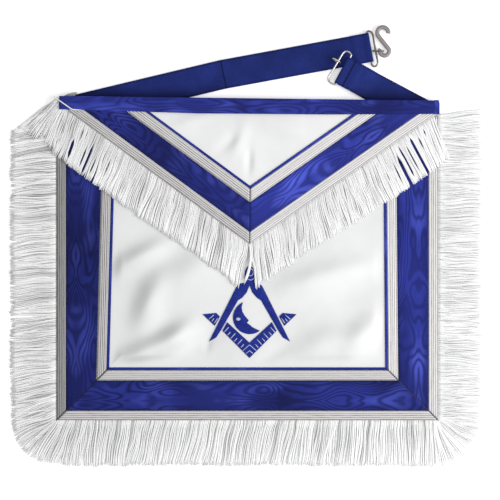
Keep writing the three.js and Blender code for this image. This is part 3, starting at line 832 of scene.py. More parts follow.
@dataclass(frozen=True)
class SatinStitch(Finish):
    """Blue satin stitch, with its threads laid one way."""

    light: Colour = (0.013, 0.031, 0.3)
    shade: Colour = (0.003, 0.006, 0.07)
    turn: float = math.radians(35)
    pitch: float = 0.0013

    def paint(self, graph: Graph) -> None:
        """Sets the threads, which waver a little, and a soft cloud over them.

        Args:
            graph: the material's nodes.
        """
        graph.constants(Roughness=0.5, Specular_IOR_Level=0.12)
        place = graph.mapped(graph.coords("Object"), Rotation=(0, 0, self.turn))
        wobble = graph.times(graph.noise(place, 260, 2), self.pitch * 1.6)
        threads = graph.wave(graph.plus(graph.axis(place, "X"), wobble), self.pitch)
        tone = graph.plus(graph.times(threads, 0.45), graph.times(graph.noise(place, 160, 3), 0.55))
        graph.colour(graph.ramp(tone, (0.3, self.shade), (0.62, self.light)))
        graph.bump(threads, 0.00025, 0.7)


@dataclass(frozen=True)
class Nickel(Finish):
    """Nickel plate over wire or a cast hook."""

    light: Colour
    shade: Colour
    roughness: float = 0.22
    grain: float = 500
    metallic: float = 1.0

    def paint(self, graph: Graph) -> None:
        """Sets plate with small spots.

        Args:
            graph: the material's nodes.
        """
        graph.constants(Roughness=self.roughness, Metallic=self.metallic)
        spots = graph.noise(graph.coords("Object"), self.grain, 4)
        graph.colour(graph.ramp(spots, (0.35, self.shade), (0.65, self.light)))
        graph.bump(spots, 0.0001, 0.25)


@dataclass(frozen=True)
class Floor(Finish):
    """Plain white light table."""

    tone: float = 0.95
    glow: float = 0.22

    def paint(self, graph: Graph) -> None:
        """Sets faintly clouded white that glows a little.

        Args:
            graph: the material's nodes.
        """
        graph.constants(Roughness=0.9, Specular_IOR_Level=0.1)
        cloud = graph.noise(graph.coords("Object"), 3, 2)
        graph.colour(graph.ramp(cloud, (0.3, (self.tone - 0.005,) * 3), (0.7, (self.tone,) * 3)))
        graph.constants(Emission_Color=(1, 1, 1, 1), Emission_Strength=self.glow)


def mark_heights(piece: bpy.types.Object, height: Callable[[float, float], float]) -> None:
    """Keeps a height for each vertex of a piece, in millimetres, as its attribute fold.

    Args:
        piece: the object.
        height: gives the height at a place in plan.
    """
    layer = piece.data.attributes.new("fold", "FLOAT", "POINT")
    values = [height(v.co.x / MM, v.co.y / MM) for v in piece.data.vertices]
    layer.data.foreach_set("value", np.array(values, np.float32))


def bumps(table: Sequence[Sequence[float]], x: float, y: float) -> float:
    """Height of a table of soft bumps at a place in plan.

    Args:
        table: each bump's x, y, half length, half width, turn in degrees and height.
        x: the place's x.
        y: its y.

    Returns:
        The height: ridges over 0, troughs under it.
    """
    height = 0.0
    for bump_x, bump_y, along, across, turn, tall in table:
        cos, sin = math.cos(math.radians(turn)), math.sin(math.radians(turn))
        dx, dy = x - bump_x, y - bump_y
        a, b = (dx * cos + dy * sin) / along, (dy * cos - dx * sin) / across
        height += tall * math.exp(-a * a - b * b)
    return height


@dataclass
class Panels:
    """The apron's two leather sheets: the body and the pointed flap.

    Each table of folds holds soft bumps, as bumps reads them. Those of the body are modelled at
    fold_height, outside the emblem's ground, and the light on all of them is strengthened by the leather.
    """

    grid: float = 2.1
    fold_height: float = 1.5
    fold_ease: float = 0.4
    edge_run: float = 14
    emblem_place: Point = (2.4, -57)
    emblem_clear: Point = (54, 56)
    window_low: float = -114.4
    flap_inset: float = 4
    flap_rows: int = 64
    flap_columns: int = 150
    flap_dip: float = 0.25
    flap_shading: float = 0.5
    body_flat: Point = (0.398, 0.3362)
    flap_flat: Point = (0.405, 0.148)
    flap_area: float = 0.03
    folds: tuple[tuple[float, ...], ...] = (
        (-104, -46, 28, 13.5, 68, 1.2),
        (-62, -15, 38, 21, 27, 1.0),
        (-75, -83, 24, 12.5, 40, 1.15),
        (-108, -97, 34, 12, 27, 1.2),
        (-115, 2, 32, 11, 28, 1.0),
        (102, -13, 40, 15, 12, 0.7),
        (54, -27, 30, 15, 15, 0.85),
        (122, -82, 28, 14, 50, 0.9),
        (88, -88, 40, 18, 17, 0.95),
        (30, -100, 24, 9, 38, -0.25),
        (-44, -86, 16, 9, 30, -0.3),
        (-42, -91, 9, 4, 80, -0.14),
    )
    flap_folds: tuple[tuple[float, ...], ...] = (
        (-8, 128, 16, 7, 70, 0.5),
        (-20, 124, 14, 6, 40, -0.4),
        (2, 104, 12, 4, 88, -0.5),
        (-60, 146, 30, 8, 20, 0.4),
        (40, 140, 40, 10, 160, 0.4),
    )

    def fold_shape(self, x: float, y: float) -> float:
        """Height of the folds in the body's window.

        Args:
            x: the place's x.
            y: its y.

        Returns:
            The height, which fades out towards the window's edges.
        """
        edge = min(LAY.window_half - abs(x), y - self.window_low)
        return float(smooth(0, self.edge_run, edge)) * bumps(self.folds, x, y)

    def fold_at(self, x: float, y: float) -> float:
        """Height of the folds that are modelled.

        Args:
            x: the place's x.
            y: its y.

        Returns:
            The height, with no trough and nothing under the emblem.
        """
        wide = (x - self.emblem_place[0]) / self.emblem_clear[0]
        tall = (y - self.emblem_place[1]) / self.emblem_clear[1]
        share = float(smooth(0.9, 1.5, math.hypot(wide, tall)))
        height = share * self.fold_height * self.fold_shape(x, y)
        return max((height + math.hypot(height, self.fold_ease)) / 2 - self.fold_ease / 2, 0.0)

    def body(self) -> bpy.types.Object:
        """Builds the body's sheet.

        Returns:
            The piece, with its folds kept as an attribute too.
        """
        low = -LAY.top + LAY.braid_overlap
        half = LAY.body_half
        inset = 2 * (LAY.trim_wall + LAY.gap)

        def place(u: float, v: float) -> Point3:
            """Place of a point at a share across the sheet and a share up it.

            Args:
                u: the share across.
                v: the other share.

            Returns:
                Its x, y and z.
            """
            x = (2 * u - 1) * half
            y = low + v * (LAY.top_at(x) - inset - low)
            return x, y, float(LAY.rise(y)) + self.fold_at(x, y) + LAY.leather_wall

        def measure(u: float, v: float) -> Point:
            """Lengths across and up the sheet."""
            return 2 * u * half, v * (LAY.top - inset - low)

        rows, columns = int((LAY.top - low) / self.grid), int(2 * half / self.grid)
        piece = cloth("body_leather", rows, columns, place, measure, LAY.leather_wall)
        mark_heights(piece, self.fold_shape)
        return piece

    def flap(self) -> bpy.types.Object:
        """Builds the flap's sheet.

        Returns:
            The piece, with its folds kept as an attribute too.
        """
        tip = LAY.flap_tip(self.flap_inset)
        start = -2 * (LAY.trim_wall + LAY.gap)
        limit = LAY.body_half - LAY.flap_shift

        def place(u: float, v: float) -> Point3:
            """Place of a point at a share across the flap and a share down it.

            Args:
                u: the share across.
                v: the other share.

            Returns:
                Its x, y and z.
            """
            down = start + v * (tip - start)
            half = max((down - tip) / LAY.flap_slope, 0.2)
            x, y = LAY.flap_point(min((2 * u - 1) * half, limit), down)
            soft = max(bumps(self.flap_folds, x, y), -self.flap_dip)
            return x, y, float(LAY.rise(y)) + LAY.flap_level + LAY.leather_wall + soft

        def measure(u: float, v: float) -> Point:
            """The place in plan."""
            x, y, _ = place(u, v)
            return x, y

        piece = cloth(
            "flap_leather", self.flap_rows, self.flap_columns, place, measure, LAY.leather_wall
        )
        mark_heights(piece, lambda x, y: self.flap_shading * bumps(self.flap_folds, x, y))
        return piece

    def dress(self) -> tuple[bpy.types.Object, bpy.types.Object]:
        """Builds and dresses both sheets.

        Returns:
            The body and the flap.
        """
        leather = Leather().build("white_leather")
        pale = Leather(light=(0.78, 0.782, 0.785), shade=(0.69, 0.692, 0.696)).build("flap_white_leather")
        body = finish_piece(self.body(), leather, Slot.LEATHER, "body_panel")
        return body, finish_piece(self.flap(), pale, Slot.LEATHER, "flap_panel")

    def declare(
        self,
        body: bpy.types.Object,
        body_trim: list[bpy.types.Object],
        flap: bpy.types.Object,
        flap_trim: list[bpy.types.Object],
    ) -> None:
        """Passes the pieces on each sheet through as_list, and does nothing more with them.

        Args:
            body: the body's sheet; not used.
            body_trim: the pieces on it.
            flap: the flap's sheet; not used.
            flap_trim: the pieces on it.
        """
        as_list(body_trim)
        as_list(flap_trim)


@dataclass(frozen=True)
class StripKind:
    """One kind of strip in a border: its width and how its face is formed."""

    name: str
    width: float
    slot: Slot
    columns: int
    form: Callable[[float], float]


def ribbed(ribs: int) -> Callable[[float], float]:
    """The face of a ribbed braid, as a height from -1 to 0 for a share of its width.

    Args:
        ribs: how many ribs lie side by side.

    Returns:
        The function that gives the height.
    """

    def form(share: float) -> float:
        """Height at a share of the width.

        Args:
            share: the share.

        Returns:
            The height.
        """
        rib = abs(math.sin(math.pi * ribs * share)) ** 0.7
        edge = min(share, 1 - share) * ribs
        return -0.32 * (1 - rib) - 0.3 * (1 - min(edge * 2, 1))

    return form


def crowned(share: float) -> float:
    """The face of a flat ribbon with soft edges."""
    return -0.35 * abs(2 * share - 1) ** 10


def rounded(share: float) -> float:
    """The face of a narrow cord."""
    return -0.75 * (1 - math.sqrt(max(1 - (2 * share - 1) ** 2, 0)))


BODY_STRIPS = (
    StripKind("outer_braid", 10, Slot.BRAID, 36, ribbed(6)),
    StripKind("ribbon", 32, Slot.MOIRE, 20, crowned),
    StripKind("inner_braid", 10.4, Slot.BRAID, 36, ribbed(6)),
    StripKind("inner_cord", 3, Slot.EDGING, 8, rounded),
)
FLAP_STRIPS = (
    StripKind("flap_outer_braid", 10.4, Slot.BRAID, 36, ribbed(6)),
    StripKind("flap_ribbon", 25.3, Slot.MOIRE, 20, crowned),
    StripKind("flap_inner_braid", 11.2, Slot.BRAID, 36, ribbed(6)),
    StripKind("flap_inner_cord", 2.6, Slot.EDGING, 8, rounded),
)
# How light each strip's painted groove shade is: darker on the left, away from the light, and lighter on
# the right.
GROOVE_SHADES = {
    "outer_braid_left": 0.12,
    "inner_braid_left": 0.7,
    "inner_braid_bottom": 2.2,
    "inner_braid_right": 1.5,
    "flap_outer_braid_left": 0.6,
    "flap_outer_braid_right": 2.0,
    "flap_inner_braid_right": 2.4,
}
# A gain for each strip's colours that paints light and shade: darker on the left, away from the light, and
# lighter on the right.
SIDE_LIGHT_GAINS = {
    "outer_braid_left": 0.5,
    "outer_braid_bottom": 0.98,
    "outer_braid_right": 1.12,
    "inner_braid_left": 0.82,
    "inner_braid_bottom": 0.93,
    "inner_braid_right": 1.15,
    "ribbon_left": 1.05,
    "ribbon_bottom": 1.35,
    "ribbon_right": 1.55,
    "inner_cord_right": 1.3,
    "flap_outer_braid_left": 0.95,
    "flap_outer_braid_right": 1.15,
    "flap_inner_braid_right": 1.15,
    "flap_ribbon_left": 1.35,
    "flap_ribbon_right": 2.6,
    "flap_inner_cord_right": 1.4,
}
# Each fringe's light colour and the painted shade of its dark strands: shade deepest on the left and
# bottom, weakest on the right, which faces the light.
FRINGE_LIGHT_AND_SHADE = {
    "fringe_left": (0.94, 0.45),
    "fringe_bottom": (0.94, 0.48),
    "fringe_right": (0.85, 0.62),
    "flap_fringe_left": (0.95, 0.5),
    "flap_fringe_right": (0.87, 0.6),
}


@dataclass
class Strips:
    """The ribbons, braids and cords of both borders.

    A flap line nearer than outermost to the braid's edge ends at the band's slanting cut, and a body line
    nearer than upright to the body's edge doesn't lean.
    """

    row_pitch: float = 3.0
    end_depth: float = 4.0
    outermost: float = 5
    upright: float = 11
    ease: float = 3

    def strip(self, name: str, kind: StripKind, corners: Sequence[Point], level: float) -> bpy.types.Object:
        """Builds one strip.

        Args:
            name: the piece's name.
            kind: its kind.
            corners: outer start, outer end, inner start and inner end in plan.
            level: its underside over the ground.

        Returns:
            The piece.
        """
        outer_a, outer_b, inner_a, inner_b = (np.array(c, float) for c in corners)
        way = (outer_b - outer_a) / np.linalg.norm(outer_b - outer_a)
        normal = np.array([-way[1], way[0]])
        if np.dot(normal, inner_a - outer_a) < 0:
            normal = -normal
        seed = sum(map(ord, name))

        def plan(u: float, v: float) -> np.ndarray:
            """Place in plan at a share across the strip and a share along it.

            Args:
                u: the share across.
                v: the share along.

            Returns:
                Its x and y.
            """
            outer = outer_a + (outer_b - outer_a) * v
            inner = inner_a + (inner_b - inner_a) * v
            return outer + (inner - outer) * u

        def place(u: float, v: float) -> Point3:
            """Place of a point at those shares.

            Args:
                u: the share across.
                v: the other share.

            Returns:
                Its x, y and z.
            """
            at = plan(u, v)
            soft = 0.1 * float(drift(seed, 26, np.dot(at - outer_a, way)))
            height = LAY.trim_wall * (1 + kind.form(u)) + soft * (1 - abs(2 * u - 1))
            return at[0], at[1], float(LAY.rise(at[1])) + level + height

        def measure(u: float, v: float) -> Point:
            """Lengths across and along the strip."""
            at = plan(u, v) - outer_a
            return float(np.dot(at, normal)), float(np.dot(at, way))

        rows = max(2, int(np.linalg.norm(outer_b - outer_a) / self.row_pitch))
        return cloth(name, rows, kind.columns, place, measure, 0.5 * LAY.trim_wall)

    def body(self) -> list[tuple[bpy.types.Object, StripKind, str]]:
        """Builds the body's strips on its three sides.

        Returns:
            Each piece with its kind and the node that it stands for.
        """
        made = []
        start = 0.0
        right, top, gap = LAY.right, LAY.top, LAY.gap
        for kind in BODY_STRIPS:
            end = start + kind.width
            for side in Side:
                sign = side.value
                splay = LAY.left_splay if side is Side.LEFT else LAY.right_splay
                lean = math.tan(math.radians(splay)) * LAY.body_height
                outer_top = sign * (right - start - (lean if start > self.upright else 0))
                inner_top = sign * (right - end - (lean if end > self.upright else 0))
                corners = (
                    (sign * (right - start), -top + start + gap),
                    (outer_top, LAY.top_at(outer_top) - LAY.band_height),
                    (sign * (right - end), -top + end + gap),
                    (inner_top, LAY.top_at(inner_top) - LAY.band_height),
                )
                name = f"{kind.name}_{side.word}"
                made.append((self.strip(name + "_cloth", kind, corners, LAY.trim_level), kind, name))
            corners = (
                (-right + start + gap, -top + start),
                (right - start - gap, -top + start),
                (-right + end + gap, -top + end),
                (right - end - gap, -top + end),
            )
            name = kind.name + "_bottom"
            made.append((self.strip(name + "_cloth", kind, corners, LAY.trim_level), kind, name))
            start = end + gap
        return made

    def flap_end(self, side: Side, inset: float) -> Point:
        """Where a flap line ends under the band.

        Args:
            side: the line's side.
            inset: its distance from the outer braid's edge.

        Returns:
            The end in plan.
        """
        limit = LAY.body_half - LAY.flap_shift
        slants = side is Side.LEFT and inset < self.outermost
        down = -(LAY.band_end if slants else self.end_depth)
        out = (down - LAY.flap_tip(inset)) / LAY.flap_slope
        if side is Side.RIGHT and out > limit:
            out = limit
            down = LAY.flap_tip(inset) + out * LAY.flap_slope
        if side is Side.LEFT and not slants:
            out = min(out, limit - self.ease)
            down = LAY.flap_tip(inset) + out * LAY.flap_slope
        return LAY.flap_point(side.value * out, down)

    def flap(self) -> list[tuple[bpy.types.Object, StripKind, str]]:
        """Builds the flap's strips on its two slopes.

        Returns:
            Each piece with its kind and the node that it stands for.
        """
        made = []
        start = 0.0
        seam = LAY.gap / 2
        for kind in FLAP_STRIPS:
            end = start + kind.width
            for side in Side:
                middle = [
                    LAY.flap_point(side.value * seam, LAY.flap_tip(inset) + seam * LAY.flap_slope)
                    for inset in (start, end)
                ]
                corners = (middle[0], self.flap_end(side, start), middle[1], self.flap_end(side, end))
                name = f"{kind.name}_{side.word}"
                made.append((self.strip(name + "_cloth", kind, corners, LAY.flap_trim_level), kind, name))
            start = end + LAY.gap
        return made

    def dress(self, strips: list[tuple[bpy.types.Object, StripKind, str]]) -> list[bpy.types.Object]:
        """Dresses the strips of a border.

        Args:
            strips: each piece with its kind and its node.

        Returns:
            The pieces.
        """
        for number, (piece, kind, node) in enumerate(strips):
            # Each strip's gain and groove strength paint light and shade by the side it lies on.
            gain, seed = SIDE_LIGHT_GAINS.get(node, 1), number * 0.37
            if kind.slot is Slot.BRAID:
                finish = SilverBraid(gain=gain, open_groove=GROOVE_SHADES.get(node, 1), width=kind.width * MM)
            elif kind.slot is Slot.EDGING:
                finish = Moire(deep=(0.012, 0.02, 0.16), middle=(0.018, 0.03, 0.24), gain=gain, seed=seed)
            else:
                # rim paints shadow along the ribbon's edges, and patch_light its broad sheen.
                finish = Moire(
                    gain=gain, seed=seed, width=kind.width * MM, mirror=0.33, rim=0.6,
                    along=15, line_pitch=0.011, line_depth=0.75, line_light=0.42, patch_light=0.14,
                )
            finish_piece(piece, finish.build(node + "_finish"), kind.slot, node)
        return [piece for piece, _, _ in strips]

    def seams(self) -> tuple[bpy.types.Object, bpy.types.Object]:
        """Builds the dark seams where the strips meet.

        Returns:
            Those at the body's two corners, and the one down the flap's middle.
        """
        over = LAY.trim_wall - 0.12
        shares = np.linspace(0, 1, 40)
        inner = sum(kind.width for kind in BODY_STRIPS) + LAY.gap * (len(BODY_STRIPS) - 1)
        high = LAY.trim_level + over
        lines = [
            [(side.value * (LAY.right - inner * t), -LAY.top + inner * t, high) for t in shares]
            for side in Side
        ]
        # The left corner's seam takes the thread's shade colour and the right one's its light colour:
        # painted shade and light by side.
        corners = tubes("corner_seams", np.array(lines), 0.45, 6, np.arange(2.0))
        inner = sum(kind.width for kind in FLAP_STRIPS) + LAY.gap * (len(FLAP_STRIPS) - 1)
        places = [LAY.flap_point(0, LAY.flap_tip(inner * t)) for t in shares]
        line = [(x, y, float(LAY.rise(y)) + LAY.flap_trim_level + over) for x, y in places]
        middle = tubes("flap_seam", np.array([line]), 0.32, 6, np.zeros(1))
        thread = Thread((0.03, 0.034, 0.085), (0.005, 0.006, 0.022)).build("dark_seam")
        return tuple(finish_piece(piece, thread, Slot.EDGING) for piece in (corners, middle))


@dataclass(frozen=True)
class Station:
    """A place along a fringe's head, with the angle in degrees at which its threads leave."""

    root: Point
    angle: float


@dataclass(frozen=True)
class Parting:
    """A gap between threads, which shows what lies under the fringe.

    It stands at a root's x, and opens from start to end down the threads by width to each side.
    """

    root_x: float
    width: float
    start: float
    end: float


@dataclass
class Fringe:
    """A fringe of loose threads, which start a tuck behind the head's edge and hang free from it."""

    name: str
    stations: list[Station]
    length: float = 49
    thread: float = 1.0
    spacing: float = 0.8
    layers: int = 2
    segments: int = 9
    sides: int = 4
    wave: float = 0.9
    ragged: float = 0.9
    frayed_past: float = -999
    clump: float = 2.2
    bundle: float = 11
    falls_to_floor: bool = True
    lift: float = 0.0
    settle: float = 0.8
    tuck: float = 2.0
    flank: float = 0.7
    seed: int = 1
    partings: tuple[Parting, ...] = ()

    def head(self) -> tuple[np.ndarray, np.ndarray, np.ndarray]:
        """Places, roots and angles of the stations along the head.

        Returns:
            The distance along the head, the roots and the angles in radians.
        """
        roots = np.array([s.root for s in self.stations])
        angles = np.unwrap(np.radians([s.angle for s in self.stations]))
        ways = np.stack([np.cos(angles), np.sin(angles)], 1)
        tips = roots + ways * self.length
        steps = 0.65 * np.linalg.norm(np.diff(roots, axis=0), axis=1)
        steps += 0.35 * np.linalg.norm(np.diff(tips, axis=0), axis=1)
        return np.concatenate([[0], np.cumsum(steps)]), roots, angles

    def marks(self) -> np.ndarray:
        """Places of the partings along the head.

        Returns:
            One place for each parting.
        """
        places, roots, _ = self.head()
        order = np.argsort(roots[:, 0])
        return np.interp([p.root_x for p in self.partings], roots[order, 0], places[order])

    def pushed(self, along: np.ndarray, down: np.ndarray) -> np.ndarray:
        """How far the partings push the threads sideways.

        Args:
            along: each thread's place along the head.
            down: distances down the threads.

        Returns:
            A sideways shift for each thread and distance.
        """
        shift = np.zeros((len(along), len(down)))
        for parting, mark in zip(self.partings, self.marks()):
            away = along - mark
            near = np.sign(away) * np.exp(-(np.abs(away) / (3.0 * parting.width)) ** 1.5)
            opened = smooth(parting.start, parting.start + 6, down)
            closed = 1 - smooth(parting.end - 6, parting.end, down)
            shift += parting.width * near[:, None] * (opened * closed)[None, :]
        return shift

    def paths(self) -> tuple[np.ndarray, np.ndarray]:
        """Points and tones of all the threads.

        Returns:
            An array of threads, points and coordinates, and the tones, with painted shade in dark strands
            and painted light towards the tips.
        """
        places, roots, angles = self.head()
        rng = np.random.default_rng(self.seed)
        along, layer = [], []
        for k in range(self.layers):
            count = int(places[-1] / self.spacing)
            at = (np.arange(count) + rng.uniform(-0.4, 0.4, count) + 0.5 * k) * self.spacing
            along.append(np.clip(at, 0, places[-1]))
            layer.append(np.full(count, k))
        along, layer = np.concatenate(along), np.concatenate(layer)
        count = len(along)
        root = np.stack([np.interp(along, places, roots[:, i]) for i in (0, 1)], 1)
        angle = np.interp(along, places, angles)
        marks = self.marks() if self.partings else [-99.0]
        near = np.min([np.abs(along - mark) for mark in marks], axis=0)
        calm = smooth(1, 5, near)
        angle += calm * (0.05 * drift(self.seed + 5, self.bundle, along) + rng.normal(0, 0.02, count))
        length = self.length + self.ragged * drift(self.seed + 9, 4, along) + rng.normal(0, 0.5, count)
        length -= smooth(self.frayed_past + 4, self.frayed_past - 8, root[:, 0]) * rng.uniform(0, 9, count)
        share = np.linspace(0, 1, self.segments + 1)
        down = -self.tuck + share * (self.length + self.tuck)
        reach = -self.tuck + share[None, :] * (length[:, None] + self.tuck)
        clump = calm * self.clump * drift(self.seed + 2, self.bundle, along)
        swing = rng.uniform(0, 2 * np.pi, (2, count))
        swing[0] = np.pi * (1 + 2 * drift(self.seed + 7, 1.6 * self.bundle, along))
        period = rng.uniform(40, 80, (2, count))
        period[0] = 52 + 14 * drift(self.seed + 8, 2 * self.bundle, along)
        envelope = smooth(0, 9, down)[None, :]
        side = sum(
            self.wave * scale * calm[:, None]
            * np.sin(2 * np.pi * down[None, :] / period[k][:, None] + swing[k][:, None])
            for k, scale in enumerate((0.8, 0.35))
        )
        side = envelope * side + (clump[:, None] * (share[None, :] ** 1.6))
        side += self.pushed(along, down)
        way = np.stack([np.cos(angle), np.sin(angle)], 1)
        normal = np.stack([way[:, 1], -way[:, 0]], 1)
        if np.dot(roots[-1] - roots[0], normal[count // 2]) < 0:
            normal = -normal
        plan = root[:, None, :] + reach[:, :, None] * way[:, None, :]
        plan = plan + side[:, :, None] * normal[:, None, :]
        bob = 0.5 * np.sin(2 * np.pi * down[None, :] / period[1][:, None] + swing[0][:, None])
        stack = 0.5 * self.thread * layer[:, None] + 0.3 * bob + 0.35
        if self.falls_to_floor:
            high = LAY.rise(plan[:, 0, 1])[:, None]
            fall = np.exp(-np.clip(down, 0, None) / 9)[None, :]
            height = (high + 0.35) * fall + stack * smooth(-4, 14, down)[None, :] + self.thread / 2
        else:
            past_edge = smooth(LAY.right - 3, LAY.right + 15, np.abs(plan[:, :, 0]))
            ground = (LAY.rise(plan[:, :, 1]) + self.lift) * (1 - 0.62 * past_edge)
            inside = smooth(2, 12, LAY.window_half - np.abs(plan[:, :, 0]))
            ground = ground - self.settle * inside * smooth(8, 28, down)[None, :]
            height = ground + self.thread / 2 + stack * 0.8
        points = np.concatenate([plan, height[:, :, None]], 2)
        # The tones paint shade: dark strands stand for shade in the gaps between strands, with random
        # differences besides.
        tone = 1 - 0.8 * smooth(0.25, 0.9, drift(self.seed + 3, 0.7 * self.thread, along))
        tone += 0.2 * drift(self.seed + 4, 9, along) - rng.uniform(0, 0.25, count)
        tone = np.clip(tone, 0, 1)
        # Painted light towards the tips, so that the strands are darker near the head, as if shaded there.
        tone = tone[:, None] + (1.25 - tone[:, None]) * 0.7 * share[None, :] ** 2
        return points, tone

    def build(self) -> bpy.types.Object:
        """Builds all the threads as one mesh."""
        points, tone = self.paths()
        return tubes(self.name, points, self.thread / 2, self.sides, tone, flank=self.flank)


def tubes(
    name: str,
    points: np.ndarray,
    radius: float,
    sides: int,
    tone: np.ndarray,
    taper: float = 0.4,
    flank: float = 0.0,
) -> bpy.types.Object:
    """Makes many thin closed tubes as one mesh.

    Args:
        name: the piece's name.
        points: an array of tubes, points and coordinates.
        radius: each tube's radius.
        sides: corners of its section.
        tone: one number for each tube, or for each of its points, kept as the attribute tone.
        taper: the last ring's share of the radius.
        flank: how much painted shade lowers the tone on a tube's two sides against its top, where its
            neighbours shade it.

    Returns:
        The piece.
    """
    count, rings, _ = points.shape
    ways = np.gradient(points, axis=1)
    ways /= np.linalg.norm(ways, axis=2, keepdims=True)
    across = np.cross(ways, [0, 0, 1.0])
    across /= np.linalg.norm(across, axis=2, keepdims=True)
    up = np.cross(across, ways)
    turns = 2 * np.pi * np.arange(sides) / sides
    radii = np.full(rings, radius)
    radii[-1] *= taper
    ring = across[:, :, None, :] * np.cos(turns)[None, None, :, None]
    ring = ring + up[:, :, None, :] * np.sin(turns)[None, None, :, None]
    vertices = points[:, :, None, :] + ring * radii[None, :, None, None]
    index = np.arange(count * rings * sides).reshape(count, rings, sides)
    after = np.roll(index, -1, axis=2)
    quads = np.stack([index[:, :-1], after[:, :-1], after[:, 1:], index[:, 1:]], 3).reshape(-1, 4)
    caps = np.concatenate([index[:, 0, ::-1], index[:, -1]])
    faces = [*quads.tolist(), *caps.tolist()]
    steps = np.linalg.norm(np.diff(points, axis=1), axis=2)
    lengths = np.concatenate([np.zeros((count, 1)), np.cumsum(steps, 1)], 1)
    around = np.broadcast_to(2 * radius * np.pi * np.arange(sides) / sides, (count, rings, sides))
    down = np.broadcast_to(lengths[:, :, None], (count, rings, sides))
    uvs = np.stack([around, down], 3).reshape(-1, 2)
    piece = mesh_piece(name, vertices.reshape(-1, 3), faces, uvs)
    layer = piece.data.attributes.new("tone", "FLOAT", "POINT")
    tones = np.broadcast_to(tone if tone.ndim == 2 else tone[:, None], (count, rings))
    # Painted shade on each tube's two sides, darker than its top.
    own = tones[:, :, None] - flank * np.abs(np.cos(turns))[None, None, :]
    layer.data.foreach_set("value", own.ravel().astype(np.float32))
    return piece


def lean_at(table: Sequence[Point], share: float) -> float:
    """A lean in degrees from a table of shares along a head and their leans."""
    return float(np.interp(share, [row[0] for row in table], [row[1] for row in table]))


